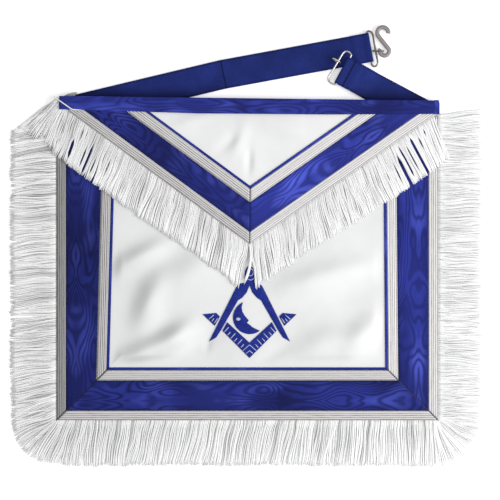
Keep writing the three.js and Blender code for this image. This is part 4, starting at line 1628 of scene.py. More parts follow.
@dataclass
class Fringes:
    """The five fringes: three round the body and two on the flap.

    Each table holds shares along a head with the threads' leans in degrees, and count and fan are the
    stations along a side and round a corner. The strands hang loose from the flap's point.
    """

    count: int = 201
    fan: int = 12
    flap_ends: Point = (195, 193.5)
    flap_length: float = 48
    left: tuple[Point, ...] = (
        (0, 36), (0.04, 22), (0.1, 9), (0.2, 4), (0.5, 3), (0.8, 6), (0.92, 13), (1, 20)
    )
    right: tuple[Point, ...] = ((0, 11), (0.03, 6), (0.08, 2), (0.3, 0), (1, -3))
    bottom: tuple[Point, ...] = (
        (0, -25), (0.04, -17), (0.09, -7), (0.3, -13), (0.65, -11), (0.9, -3), (1, 1)
    )
    flap_left: tuple[Point, ...] = ((0, 17), (0.2, 24), (0.5, 18), (0.8, 9), (0.93, 7), (1, 9))
    flap_right: tuple[Point, ...] = ((0, 19), (0.15, 29), (0.5, 18), (0.8, 8), (1, 4))
    right_drop: float = 15
    header: tuple[Point, Point] = ((-203, 170.6), (-192, 160.4))
    header_leans: Point = (47, 17)
    strands: tuple[Point, ...] = ((-1.0, 0.93), (-0.4, 0.99), (0.2, 0.96), (0.8, 0.9), (-0.1, 0.86))
    strand_length: float = 44
    strand_radius: float = 0.6
    left_partings: tuple[Parting, ...] = (
        Parting(-176.5, 1.6, 20, 44),
        Parting(-171, 1.1, 5, 18),
        Parting(-167, 0.8, 4, 13),
        Parting(-162.5, 1.0, 18, 44),
        Parting(-158, 1.4, 12, 48),
        Parting(-151, 1.0, 22, 44),
        Parting(-139, 1.0, 16, 34),
        Parting(2.2, 3.2, 16, 60),
    )
    right_partings: tuple[Parting, ...] = (
        Parting(184.5, 1.3, 5, 16),
        Parting(177, 0.9, 8, 24),
        Parting(170, 1.7, 4, 56),
        Parting(164, 0.8, 10, 40),
        Parting(158, 1.2, 5, 44),
        Parting(153, 1.9, 12, 56),
        Parting(148, 0.9, 16, 40),
        Parting(139, 0.8, 18, 32),
        Parting(2.4, 2.6, 17, 60),
    )

    def run(self, start: Point, end: Point, base: float, table: Sequence[Point]) -> list[Station]:
        """Stations along a straight head.

        Args:
            start: the head's start.
            end: its end.
            base: the angle in degrees at which the threads leave.
            table: what the leans add to it.

        Returns:
            The stations.
        """
        (ax, ay), (bx, by) = start, end
        return [
            Station((ax + (bx - ax) * t, ay + (by - ay) * t), base + lean_at(table, t))
            for t in np.linspace(0, 1, self.count)
        ]

    def corner(self, place: Point, start: float, end: float) -> list[Station]:
        """Stations that fan round a corner of the leather.

        Args:
            place: the fan's middle.
            start: the angle in degrees that it starts from.
            end: the angle of its last station.

        Returns:
            The stations.
        """
        angles = np.linspace(start, end, self.fan + 1)[1:]
        return [Station(stepped(place, float(a), LAY.braid_overlap), float(a)) for a in angles]

    def body(self) -> list[tuple[Fringe, str]]:
        """The three fringes round the body.

        Returns:
            Each fringe with the node that it stands for.
        """
        right, top, half = LAY.right, LAY.top, LAY.body_half
        low = -top + LAY.braid_overlap
        inset = 2 * (LAY.trim_wall + LAY.gap)
        left = self.run((-right, LAY.top_at(-right) - inset), (-right, low), 180, self.left)
        left += self.corner((-half, low), 200, 232)
        lower = self.corner((-half, low), 245, 222)[::-1]
        lower += self.run((-half, -top), (half, -top), 270, self.bottom)
        lower += self.corner((half, low), 271, 315)
        other = self.run((right, LAY.top_at(right) - self.right_drop), (right, low), 0, self.right)
        other += self.corner((half, low), 357, 315)
        return [
            (Fringe("fringe_left_threads", left, seed=11, thread=1.35, spacing=1.15), "fringe_left"),
            (Fringe("fringe_bottom_threads", lower, seed=23, thread=1.65, spacing=1.45), "fringe_bottom"),
            (
                Fringe("fringe_right_threads", other, seed=37, thread=1.4, spacing=1.2, flank=0.45),
                "fringe_right",
            ),
        ]

    def flap(self) -> list[tuple[Fringe, str]]:
        """The two fringes of the flap.

        Returns:
            Each fringe with the node that it stands for.
        """
        made = []
        tables = (self.flap_left, self.flap_right)
        for side, outer, leans in zip(Side, self.flap_ends, tables):
            sign = side.value
            start = LAY.flap_point(sign * outer, LAY.flap_tip(0) + outer * LAY.flap_slope)
            end = LAY.flap_point(sign * LAY.gap, LAY.flap_tip(0) + LAY.gap * LAY.flap_slope)
            stations = self.run(start, end, 270, [(at, sign * lean) for at, lean in leans])
            if side is Side.LEFT:
                (ax, ay), (bx, by) = self.header
                first, last = self.header_leans
                stations = [
                    Station((ax + (bx - ax) * t, ay + (by - ay) * t), 270 - first - (last - first) * t)
                    for t in np.linspace(0, 1, 8)
                ] + stations
            fringe = Fringe(
                f"flap_fringe_{side.word}_threads",
                stations,
                seed=53 + sign,
                thread=1.25,
                spacing=1.05,
                falls_to_floor=False,
                lift=LAY.flap_level,
                frayed_past=-190,
                flank=0.7 if side is Side.LEFT else 0.5,
                length=self.flap_length,
                partings=self.left_partings if side is Side.LEFT else self.right_partings,
            )
            made.append((fringe, f"flap_fringe_{side.word}"))
        return made

    def point(self) -> bpy.types.Object:
        """Builds and dresses the strands at the flap's point, which fall across the compasses' head.

        Returns:
            The piece.
        """
        base_x, base_y = LAY.flap_point(0, LAY.flap_tip(0))
        lines = []
        for k, (out, reach) in enumerate(self.strands):
            line = []
            for t in np.linspace(0, 1, 10):
                down = -1 + self.strand_length * t * reach
                share = max(down / 40, 0)
                bend = 2.6 * math.sin(math.pi * min(share, 1)) - 4.6 * share**1.5
                x, y = base_x + 0.5 * out + bend + out * 0.7 * t, base_y - down
                line.append((x, y, LAY.flap_level + 1.5 + 0.25 * (k % 3) + 0.3 * math.sin(3 * t + k)))
            lines.append(line)
        tone = np.ones(len(lines))
        piece = tubes("flap_point_strands", np.array(lines), self.strand_radius, 4, tone, flank=0.6)
        thread = Thread((0.9, 0.9, 0.9), (0.5, 0.5, 0.5)).build("flap_point_finish")
        return finish_piece(piece, thread, Slot.FRINGE)

    def dress(self, group: list[tuple[Fringe, str]]) -> list[bpy.types.Object]:
        """Builds and dresses fringes.

        Args:
            group: each fringe with its node.

        Returns:
            The pieces.
        """
        made = []
        for fringe, node in group:
            # light is the threads' colour, and dark the painted shade that the dark strands and the
            # strands' sides take.
            light, dark = FRINGE_LIGHT_AND_SHADE[node]
            thread = Thread((light, light, light), (dark, dark, dark * 1.01)).build(node + "_finish")
            made.append(finish_piece(fringe.build(), thread, Slot.FRINGE, node))
        return made


@dataclass
class TopBand:
    """The folded ribbon along the top edge, with its hemmed right end.

    Across the band, its face reaches up to face_end and its fold over the edge up to fold_end. The edge
    table holds places along the band with the depth of its lower edge.
    """

    left: float = -203.5
    right: float = 198.8
    height: float = 16.8
    rows: int = 20
    columns: int = 160
    fold_radius: float = 1.2
    face_end: float = 0.7
    fold_end: float = 0.9
    wall_share: float = 0.6
    edge: tuple[Point, ...] = (
        (-203.5, 14.3), (-188.5, 14.28), (-121.8, 15.62), (-56.8, 16.8), (81.2, 16.3), (198.8, 14.28)
    )
    hem_width: float = 5
    hem_rise: float = 0.2
    hem_crown: float = 0.25
    cord: tuple[Point, ...] = (
        (-204.6, 172.4), (-203.2, 171.4), (-197.5, 167.3), (-191.5, 163.1),
        (-186.6, 159.7), (-184.2, 158.7), (-176.2, 158.4),
    )
    cord_radius: float = 0.62
    lining_edge: tuple[Point, ...] = (
        (-197.2, 172.6), (-190.9, 175.9), (-182.8, 177.9), (-180.6, 177.2), (-184.5, 172.4)
    )
    lining_height: float = 3.4
    lining_wall: float = 1.2

    def lower(self, u: float) -> float:
        """Depth of the band's lower edge below the top edge at u."""
        return float(np.interp(u, [row[0] for row in self.edge], [row[1] for row in self.edge]))

    def header(self) -> bpy.types.Object:
        """Builds the pale cord that crosses the band's left end, over the head of the flap's fringe.

        Returns:
            The piece.
        """
        high = LAY.ground + LAY.band_level + LAY.trim_wall + 0.5
        points = np.array([[(x, y, high) for x, y in self.cord]])
        return tubes("header_cord", points, self.cord_radius, 8, np.ones(1))

    def lining(self) -> bpy.types.Object:
        """Builds the corner of pale lining that stands out over the band's left end.

        Returns:
            The piece.
        """
        points = np.array([(x, y, self.lining_height) for x, y in self.lining_edge])
        piece = mesh_piece("band_lining", points[::-1], [tuple(range(len(points)))])
        apply_modifier(piece, "SOLIDIFY", thickness=self.lining_wall * MM, offset=-1)
        return piece

    def band(self) -> bpy.types.Object:
        """Builds the band: its face, and its fold over the top edge.

        Returns:
            The piece.
        """
        face = LAY.band_level + LAY.trim_wall
        back = -LAY.trim_wall - LAY.gap
        radius = self.fold_radius

        def place(a: float, b: float) -> Point3:
            """Place of a point at a share along the band and a share across it.

            Args:
                a: the first share.
                b: the second.

            Returns:
                Its x, y and z.
            """
            u = self.left + a * (self.right - self.left)
            depth = self.lower(u)
            if b < self.face_end:
                share = b / self.face_end
                v = -depth + (depth - radius) * share
                z = face + 0.12 * float(drift(7, 19, u)) * math.sin(math.pi * share)
                z -= 0.3 * (1 - float(smooth(0, 0.06, b)))
            elif b < self.fold_end:
                turn = (b - self.face_end) / (self.fold_end - self.face_end) * math.pi / 2
                v = -radius * (1 - math.sin(turn))
                z = face - radius * (1 - math.cos(turn))
            else:
                v = 0.0
                z = face - radius + (b - self.fold_end) / (1 - self.fold_end) * (back - face + radius)
            x, y = LAY.flap_point(u, v)
            return x, y, LAY.ground + z

        def measure(a: float, b: float) -> Point:
            """Lengths across and along the ribbon."""
            return b * (self.height + 8), a * (self.right - self.left)

        wall = self.wall_share * LAY.trim_wall
        return cloth("top_band_cloth", self.rows, self.columns, place, measure, wall)

    def hem(self) -> bpy.types.Object:
        """Builds the band's folded right end.

        Returns:
            The piece.
        """
        level = LAY.ground + LAY.band_level + LAY.trim_wall + self.hem_rise

        def place(a: float, b: float) -> Point3:
            """Place of a point at a share across the hem and a share down it.

            Args:
                a: the first share.
                b: the second.

            Returns:
                Its x, y and z.
            """
            u = self.right - self.hem_width + a * (self.hem_width + 0.8 * min(4 * b, 1))
            x, y = LAY.flap_point(u, 0.4 - b * (LAY.band_end + 0.8))
            return x, y, level + self.hem_crown * (1 - (2 * a - 1) ** 4)

        def measure(a: float, b: float) -> Point:
            """Lengths across and along the ribbon."""
            return a * self.hem_width, b * LAY.band_end

        return cloth("top_band_hem", 12, 8, place, measure, self.wall_share * LAY.trim_wall)

    def dress(self) -> list[bpy.types.Object]:
        """Builds and dresses the band's pieces, and gives the solid binding under it the same ribbon.

        Returns:
            The pieces.
        """
        # The band and its hem are one ribbon; their gains brighten it to paint the light on each, the hem a
        # little less.
        ribbon = Moire(gain=2.0, seed=2.3).build("band_ribbon")
        hem_ribbon = Moire(gain=1.7, seed=5.1).build("hem_ribbon")
        cream = Thread((0.82, 0.8, 0.75), (0.7, 0.68, 0.62)).build("cream_cord")
        grey = Leather(light=(0.42, 0.38, 0.37), shade=(0.32, 0.29, 0.28)).build("grey_lining")
        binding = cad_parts["body_binding"]
        binding.data.materials.clear()
        binding.data.materials.append(ribbon)
        return [
            finish_piece(self.band(), ribbon, Slot.MOIRE, "top_band"),
            finish_piece(self.hem(), hem_ribbon, Slot.MOIRE),
            finish_piece(self.header(), cream, Slot.FRINGE),
            finish_piece(self.lining(), grey, Slot.LEATHER),
        ]


@dataclass
class Strap:
    """One piece of the belt: webbing with its end folded round a loop of wire.

    Its path holds places with the strap's angle there in degrees, its bends their lengths from the folded
    end, and lay gives the height of its underside at such a length.
    """

    name: str
    path: list[tuple[float, float, float]]
    bends: list[float]
    lay: Callable[[float], float]
    tail: float = 15
    settle: float = 8
    step: float = 5
    columns: int = 12
    wall_share: float = 0.97
    crease: float | None = None

    def line(self) -> list[Point]:
        """The webbing's middle line.

        Returns:
            Its points, as lengths from the folded end and heights.
        """
        half = LAY.web_wall / 2
        upper = LAY.web_wall + LAY.gap
        radius = LAY.wire + LAY.gap + half
        settle = self.tail + self.settle
        points = [(s, self.lay(0) + half) for s in np.linspace(self.tail, LAY.eye, 6)]
        for k in range(1, 13):
            turn = math.pi * (k / 13) + math.pi / 2
            high = self.lay(0) + LAY.eye - radius * math.sin(turn)
            points.append((LAY.eye + radius * math.cos(turn), high))
        for s in np.linspace(LAY.eye + 3.5, self.tail, 6):
            points.append((s, self.lay(s) + upper + half))
        for s in np.linspace(self.tail + 1, settle, 6):
            share = (s - self.tail - 1) / (settle - self.tail - 1)
            points.append((s, self.lay(s) + half + upper * (1 - float(smooth(0, 1, share)))))
        for s in np.arange(settle + self.step, self.bends[-1], self.step):
            bump = 0.5 * math.exp(-(((s - self.crease) / 2.2) ** 2)) if self.crease else 0
            points.append((s, self.lay(s) + half + bump))
        points.append((self.bends[-1], self.lay(self.bends[-1]) + half))
        return points

    def at(self, s: float) -> tuple[float, float, float, float]:
        """Where the strap's middle lies.

        Args:
            s: the length from its folded end.

        Returns:
            The place in plan, and the direction to the side.
        """
        k = 0
        while k < len(self.bends) - 2 and s > self.bends[k + 1]:
            k += 1
        share = (s - self.bends[k]) / (self.bends[k + 1] - self.bends[k])
        (ax, ay, an), (bx, by, bn) = self.path[k], self.path[k + 1]
        turn = math.radians(an + (bn - an) * share)
        return ax + (bx - ax) * share, ay + (by - ay) * share, math.sin(turn), -math.cos(turn)

    def build(self) -> bpy.types.Object:
        """Builds the webbing and cuts its root end along the band.

        Returns:
            The piece.
        """
        line = self.line()
        lengths = np.concatenate([[0], np.cumsum([math.dist(a, b) for a, b in zip(line, line[1:])])])
        points, uvs = [], []
        for (s, z), length in zip(line, lengths):
            x, y, nx, ny = self.at(s)
            for i in range(self.columns + 1):
                side = (i / self.columns - 0.5) * LAY.web_width
                points.append((x + side * nx, y + side * ny, z))
                uvs.append((side + LAY.web_width / 2, length))
        faces = [(a, d, c, b) for a, b, c, d in grid_faces(len(line) - 1, self.columns)]
        piece = mesh_piece(self.name, np.array(points), faces, np.array(uvs))
        wall = LAY.web_wall * MM * self.wall_share
        apply_modifier(piece, "SOLIDIFY", thickness=wall, offset=0, use_even_offset=True)
        activate(piece)
        bpy.ops.object.mode_set(mode="EDIT")
        bpy.ops.mesh.select_all(action="SELECT")
        bpy.ops.mesh.normals_make_consistent(inside=False)
        bpy.ops.mesh.bisect(
            plane_co=(0, (LAY.top - LAY.band_end) * MM, 0),
            plane_no=(-math.sin(LAY.top_turn), -math.cos(LAY.top_turn), 0),
            use_fill=True,
            clear_outer=True,
        )
        bpy.ops.object.mode_set(mode="OBJECT")
        return piece


def sideways(angle: float) -> Point:
    """The direction at right angles to an angle in degrees."""
    return math.sin(math.radians(angle)), -math.cos(math.radians(angle))


def stepped(point: Point, angle: float, length: float) -> Point:
    """A point a length away at an angle in degrees."""
    turn = math.radians(angle)
    return point[0] + length * math.cos(turn), point[1] + length * math.sin(turn)


@dataclass
class Belt:
    """The belt's two pieces of webbing and all its metal.

    The hook is two arcs joined by a shank, round its own eye and round the crook, whose turns are angles
    in degrees. The short loop lies askew, so its outer bar is as far out as the two spreads say.
    """

    root_inset: float = 4
    lower_length: float = 173
    lower_angle: float = 13.4
    upper_length: float = 161
    upper_angle: float = 10.4
    short_inset: float = 6
    short_length: float = 106
    short_angle: float = 152
    drop_run: float = 15
    loop_reach: float = 6.5
    loop_corner: float = 2.4
    loop_ease: float = 0.55
    short_spread: Point = (2.2, 4)
    slides: Point = (-1.9, -1.3)
    link_wire: float = 0.7
    link_height: float = 0.1
    eye_radius: float = 4.6
    eye_share: float = 0.2
    eye_angle: float = 154
    hook_width: float = 4.6
    hook_thickness: float = 3
    crook_radius: float = 5.9
    crook: Point = (-1.6, 19.4)
    crook_turn: Point = (-8, 222)
    eye_turn: Point = (52, -205)
    hook_steps: int = 30
    hook_square: float = 2.6
    hook_eye: float = 4.8
    hook_drop: float = 4.3
    hook_lean: float = 1

    def __post_init__(self) -> None:
        """Works out the ends of both straps."""
        half = LAY.body_half
        self.long_root = (-half + self.root_inset, LAY.top_at(-half) - LAY.band_height)
        self.long_bend = stepped(self.long_root, self.lower_angle, self.lower_length)
        self.long_end = stepped(self.long_bend, self.upper_angle, self.upper_length)
        self.link_inside = self.link_height + 2 * self.link_wire + LAY.gap
        self.long_bar = self.link_inside + LAY.wire
        self.crossing = self.long_bar + LAY.wire + LAY.gap
        self.short_root = (half - self.short_inset, LAY.top_at(half) - LAY.band_height)
        self.short_end = stepped(self.short_root, self.short_angle, self.short_length)
        self.bar_x = self.long_end[0] + self.loop_reach - LAY.eye
        self.hook_x = self.bar_x + LAY.wire + 2 + LAY.gap + self.hook_eye + self.hook_width / 2
        self.hook_y = self.long_end[1] - self.hook_drop

    def short_lay(self, s: float) -> float:
        """Height of the short strap's underside.

        Args:
            s: the length from its folded end.

        Returns:
            The height, which falls to the floor before the strap meets the leather.
        """
        back = math.radians(self.short_angle + 180)
        nx, ny = sideways(self.short_angle + 180)
        corner = (self.short_end[0] + nx * LAY.web_width / 2, self.short_end[1] + ny * LAY.web_width / 2)
        down = -math.sin(back) - LAY.turn_slope * math.cos(back)
        meets = (corner[1] - LAY.top_at(corner[0])) / down
        return self.crossing * (1 - float(smooth(meets - self.drop_run, meets, s)))

    def straps(self) -> list[tuple[Strap, str]]:
        """The two pieces of webbing.

        Returns:
            Each strap with the node that it stands for.
        """
        back = self.upper_angle + 180
        middle = (self.upper_angle + self.lower_angle) / 2 + 180
        long = Strap(
            "long_strap_webbing",
            [(*self.long_end, back), (*self.long_bend, middle), (*self.long_root, self.lower_angle + 180)],
            [0, self.upper_length, self.upper_length + self.lower_length],
            lambda s: 0.0,
            crease=self.upper_length - 4,
        )
        turned = self.short_angle + 180
        short = Strap(
            "short_strap_webbing",
            [(*self.short_end, turned), (*self.short_root, turned)],
            [0, self.short_length],
            self.short_lay,
        )
        return [(long, "long_strap"), (short, "short_strap")]

    def loop(
        self, name: str, end: Point, back: float, low: float, out: float, reaches: Point, slide: float
    ) -> bpy.types.Object:
        """Builds a rectangular wire loop.

        Args:
            name: the piece's name.
            end: the strap's folded end in plan.
            back: the angle from the end back along the strap.
            low: height of the strap's own ground.
            out: height of the outer bar's middle.
            reaches: from the inner bar to the outer one, at the loop's two ends.
            slide: how far the loop lies slid along its eye.

        Returns:
            The piece.
        """
        ax, ay = math.cos(math.radians(back)), math.sin(math.radians(back))
        nx, ny = sideways(back)
        corner, ease = self.loop_corner, self.loop_ease
        bar = LAY.web_width / 2 + 1
        inner = low + LAY.eye
        points = []

        def put(s: float, side: float, z: float) -> None:
            """Adds a point at a length along the strap, a place across it and a height."""
            across = side + slide
            points.append((end[0] + ax * s + nx * across, end[1] + ay * s + ny * across, z))

        for share in (-0.95, -0.5, 0, 0.5, 0.95):
            put(LAY.eye, share * bar, inner)
        for side, reach in ((1, reaches[1]), (-1, reaches[0])):
            far = LAY.eye - reach
            step = (LAY.eye - far) / 6
            stops = [
                (LAY.eye - ease, bar + corner - 1.1, inner),
                (LAY.eye - 1.6 * step, bar + corner - 0.1, (2 * inner + out) / 3),
                (far + 2.4 * step, bar + corner - 0.1, (inner + 2 * out) / 3),
                (far + 0.8 * step, bar + corner - 1.5, out),
                (far, bar - 1.5, out),
            ]
            for s, w, z in stops if side > 0 else stops[::-1]:
                put(s, side * w, z)
            if side > 0:
                other = LAY.eye - reaches[0]
                for share in (0.5, 0, -0.5):
                    put(other + (far - other) * (share + 1) / 2, share * bar, out)
        return wire_piece(name, points, LAY.wire)

    def hook(self) -> bpy.types.Object:
        """Builds the snake hook by spinning a flattened section round its two centres.

        Returns:
            The piece.
        """
        crook = Vector((*self.crook, 0))
        start, turn_end = (math.radians(turn) for turn in self.crook_turn)
        eye_from, eye_to = (math.radians(turn) for turn in self.eye_turn)
        power = self.hook_square
        deselect()
        bpy.ops.mesh.primitive_circle_add(vertices=18, radius=1, fill_type="NGON")
        piece = bpy.context.object
        piece.name = "snake_hook_metal"
        mesh = piece.data
        for vertex in mesh.vertices:
            x, y = vertex.co.x, vertex.co.y
            square = 1 / max(abs(x) ** power + abs(y) ** power, 1e-9) ** (1 / power)
            out = x * square * self.hook_width / 2
            high = y * square * self.hook_thickness / 2
            at = self.crook_radius + out
            vertex.co = Vector((crook.x + at * math.cos(start), crook.y + at * math.sin(start), high)) * MM
        bpy.ops.object.mode_set(mode="EDIT")
        bpy.ops.mesh.select_all(action="SELECT")
        bpy.ops.mesh.spin(steps=self.hook_steps, angle=start - turn_end, center=crook * MM, axis=(0, 0, 1))
        crook_end = crook + self.crook_radius * Vector((math.cos(turn_end), math.sin(turn_end), 0))
        eye_start = self.hook_eye * Vector((math.cos(eye_from), math.sin(eye_from), 0))
        for _ in range(4):
            bpy.ops.mesh.extrude_region_move(
                TRANSFORM_OT_translate={"value": (eye_start - crook_end) * MM / 4}
            )
        bpy.ops.mesh.spin(steps=self.hook_steps, angle=eye_from - eye_to, center=(0, 0, 0), axis=(0, 0, 1))
        bpy.ops.mesh.select_all(action="SELECT")
        bpy.ops.mesh.remove_doubles(threshold=1e-6)
        bpy.ops.mesh.normals_make_consistent(inside=False)
        bpy.ops.object.mode_set(mode="OBJECT")
        lean = math.radians(self.hook_lean)
        cos, sin = math.cos(lean), math.sin(lean)
        high = self.link_inside + self.hook_thickness / 2
        for vertex in mesh.vertices:
            x, y, z = vertex.co
            vertex.co = (
                x * cos - y * sin + self.hook_x * MM,
                x * sin + y * cos + self.hook_y * MM,
                z + high * MM,
            )
        shade(piece)
        return piece

    def link(self) -> bpy.types.Object:
        """Builds the small link between the hook's eye and the long loop.

        Returns:
            The piece.
        """
        left = self.bar_x - LAY.wire - LAY.gap - self.link_wire
        right = self.hook_x - self.hook_eye + self.hook_width / 2 + LAY.gap + self.link_wire
        low = self.link_height + self.link_wire
        high = self.link_inside + self.hook_thickness + LAY.gap + self.link_wire
        shares = [
            (0, 0.24), (0, 0.76), (0.1, 0.98), (0.5, 1), (0.9, 0.98),
            (1, 0.76), (1, 0.24), (0.9, 0.06), (0.5, 0.05), (0.1, 0.06),
        ]
        points = [(left + u * (right - left), self.hook_y, low + w * (high - low)) for u, w in shares]
        return wire_piece("hook_link_metal", points, self.link_wire)

    def eye_ring(self) -> bpy.types.Object:
        """Builds the eye that hangs on the short loop's outer bar.

        Returns:
            The piece.
        """
        back = self.short_angle + 180
        ax, ay = math.cos(math.radians(back)), math.sin(math.radians(back))
        nx, ny = sideways(back)
        reaches = [self.loop_reach + spread for spread in self.short_spread]
        share = self.eye_share
        middle = sum(reaches) / 2
        reach = middle + (reaches[0] - middle) * 2 * share
        x = self.short_end[0] + ax * (LAY.eye - reach) - nx * share * LAY.web_width
        y = self.short_end[1] + ay * (LAY.eye - reach) - ny * share * LAY.web_width
        high = LAY.web_wall + LAY.gap + self.eye_radius + LAY.wire
        room = self.eye_radius - 2 * LAY.wire - LAY.gap
        offset = math.sqrt(room**2 - (high - self.crossing - LAY.eye) ** 2)
        way = math.radians(self.eye_angle)
        cx, cy = x + math.cos(way) * offset, y + math.sin(way) * offset
        points = [
            (
                cx + self.eye_radius * math.cos(t) * math.cos(way),
                cy + self.eye_radius * math.cos(t) * math.sin(way),
                high + self.eye_radius * math.sin(t),
            )
            for t in np.linspace(0, 2 * math.pi, 17)[:-1]
        ]
        return wire_piece("eye_ring_metal", points, LAY.wire)

    def metal(self) -> list[tuple[bpy.types.Object, str]]:
        """Builds the loops, the link and the eye.

        Returns:
            Each piece with the node that it stands for.
        """
        reach, high = self.loop_reach, self.crossing
        level = (reach, reach)
        askew = (reach + self.short_spread[0], reach + self.short_spread[1])
        backs = self.upper_angle + 180, self.short_angle + 180
        slides = self.slides
        bar = high + LAY.eye
        long_loop = self.loop(
            "long_loop_wire", self.long_end, backs[0], 0, self.long_bar, level, slides[0]
        )
        short_loop = self.loop("short_loop_wire", self.short_end, backs[1], high, bar, askew, slides[1])
        return [
            (long_loop, "long_loop"),
            (short_loop, "short_loop"),
            (self.link(), "hook_link"),
            (self.eye_ring(), "eye_ring"),
        ]

    def dress(self) -> None:
        """Builds and dresses the webbing and the metal."""
        webbings = {
            # The long strap's line is the painted shade of a crease across it; the short strap's is a row
            # of stitches.
            "long_strap": Webbing(seam=0.1764, seam_depth=0.75).build("blue_webbing"),
            "short_strap": Webbing(seam=0.0262).build("blue_webbing_with_seam"),
        }
        # The loops, the link and the eye are one nickel in copies of different tone that paint their
        # reflections: light with a cream tint on the short loop and the eye, dark on the long loop and the
        # link.
        wire = Nickel(light=(0.6, 0.58, 0.54), shade=(0.36, 0.34, 0.32), roughness=0.36)
        cream_reflection = Nickel(light=(0.62, 0.59, 0.5), shade=(0.4, 0.38, 0.33))
        finishes = {"short_loop": wire.build("nickel_wire"), "eye_ring": cream_reflection.build("bright_ring")}
        dark_reflection = Nickel(light=(0.26, 0.25, 0.24), shade=(0.1, 0.095, 0.09), roughness=0.3).build("dull_wire")
        cast = Nickel(
            light=(0.3, 0.275, 0.275), shade=(0.21, 0.19, 0.19), roughness=0.5, grain=900, metallic=0.6
        ).build("cast_nickel")
        for strap, node in self.straps():
            piece = finish_piece(strap.build(), webbings[node], Slot.WEBBING, node)
        for piece, node in self.metal():
            finish_piece(piece, finishes.get(node, dark_reflection), Slot.NICKEL, node)
        finish_piece(self.hook(), cast, Slot.NICKEL, "snake_hook")


def shade(piece: bpy.types.Object, angle: float = 40) -> None:
    """Shades a piece smooth, with edges sharper than an angle in degrees kept."""
    activate(piece)
    bpy.ops.object.shade_smooth_by_angle(angle=math.radians(angle))


def wire_piece(name: str, points: Sequence, radius: float) -> bpy.types.Object:
    """Makes a closed round wire along points, from a curve turned to a mesh.

    Args:
        name: the piece's name.
        points: the points that the wire passes, in millimetres.
        radius: the wire's radius.

    Returns:
        The piece.
    """
    data = bpy.data.curves.new(name, "CURVE")
    data.dimensions = "3D"
    spline = data.splines.new("BEZIER")
    spline.bezier_points.add(len(points) - 1)
    for knot, point in zip(spline.bezier_points, points):
        knot.co = Vector(point) * MM
        knot.handle_left_type = knot.handle_right_type = "AUTO"
    spline.use_cyclic_u = True
    spline.resolution_u = 8
    data.bevel_depth = radius * MM
    data.bevel_resolution = 4
    piece = bpy.data.objects.new(name, data)
    bpy.context.scene.collection.objects.link(piece)
    activate(piece)
    bpy.ops.object.convert(target="MESH")
    piece = bpy.context.object
    shade(piece, 60)
    return piece


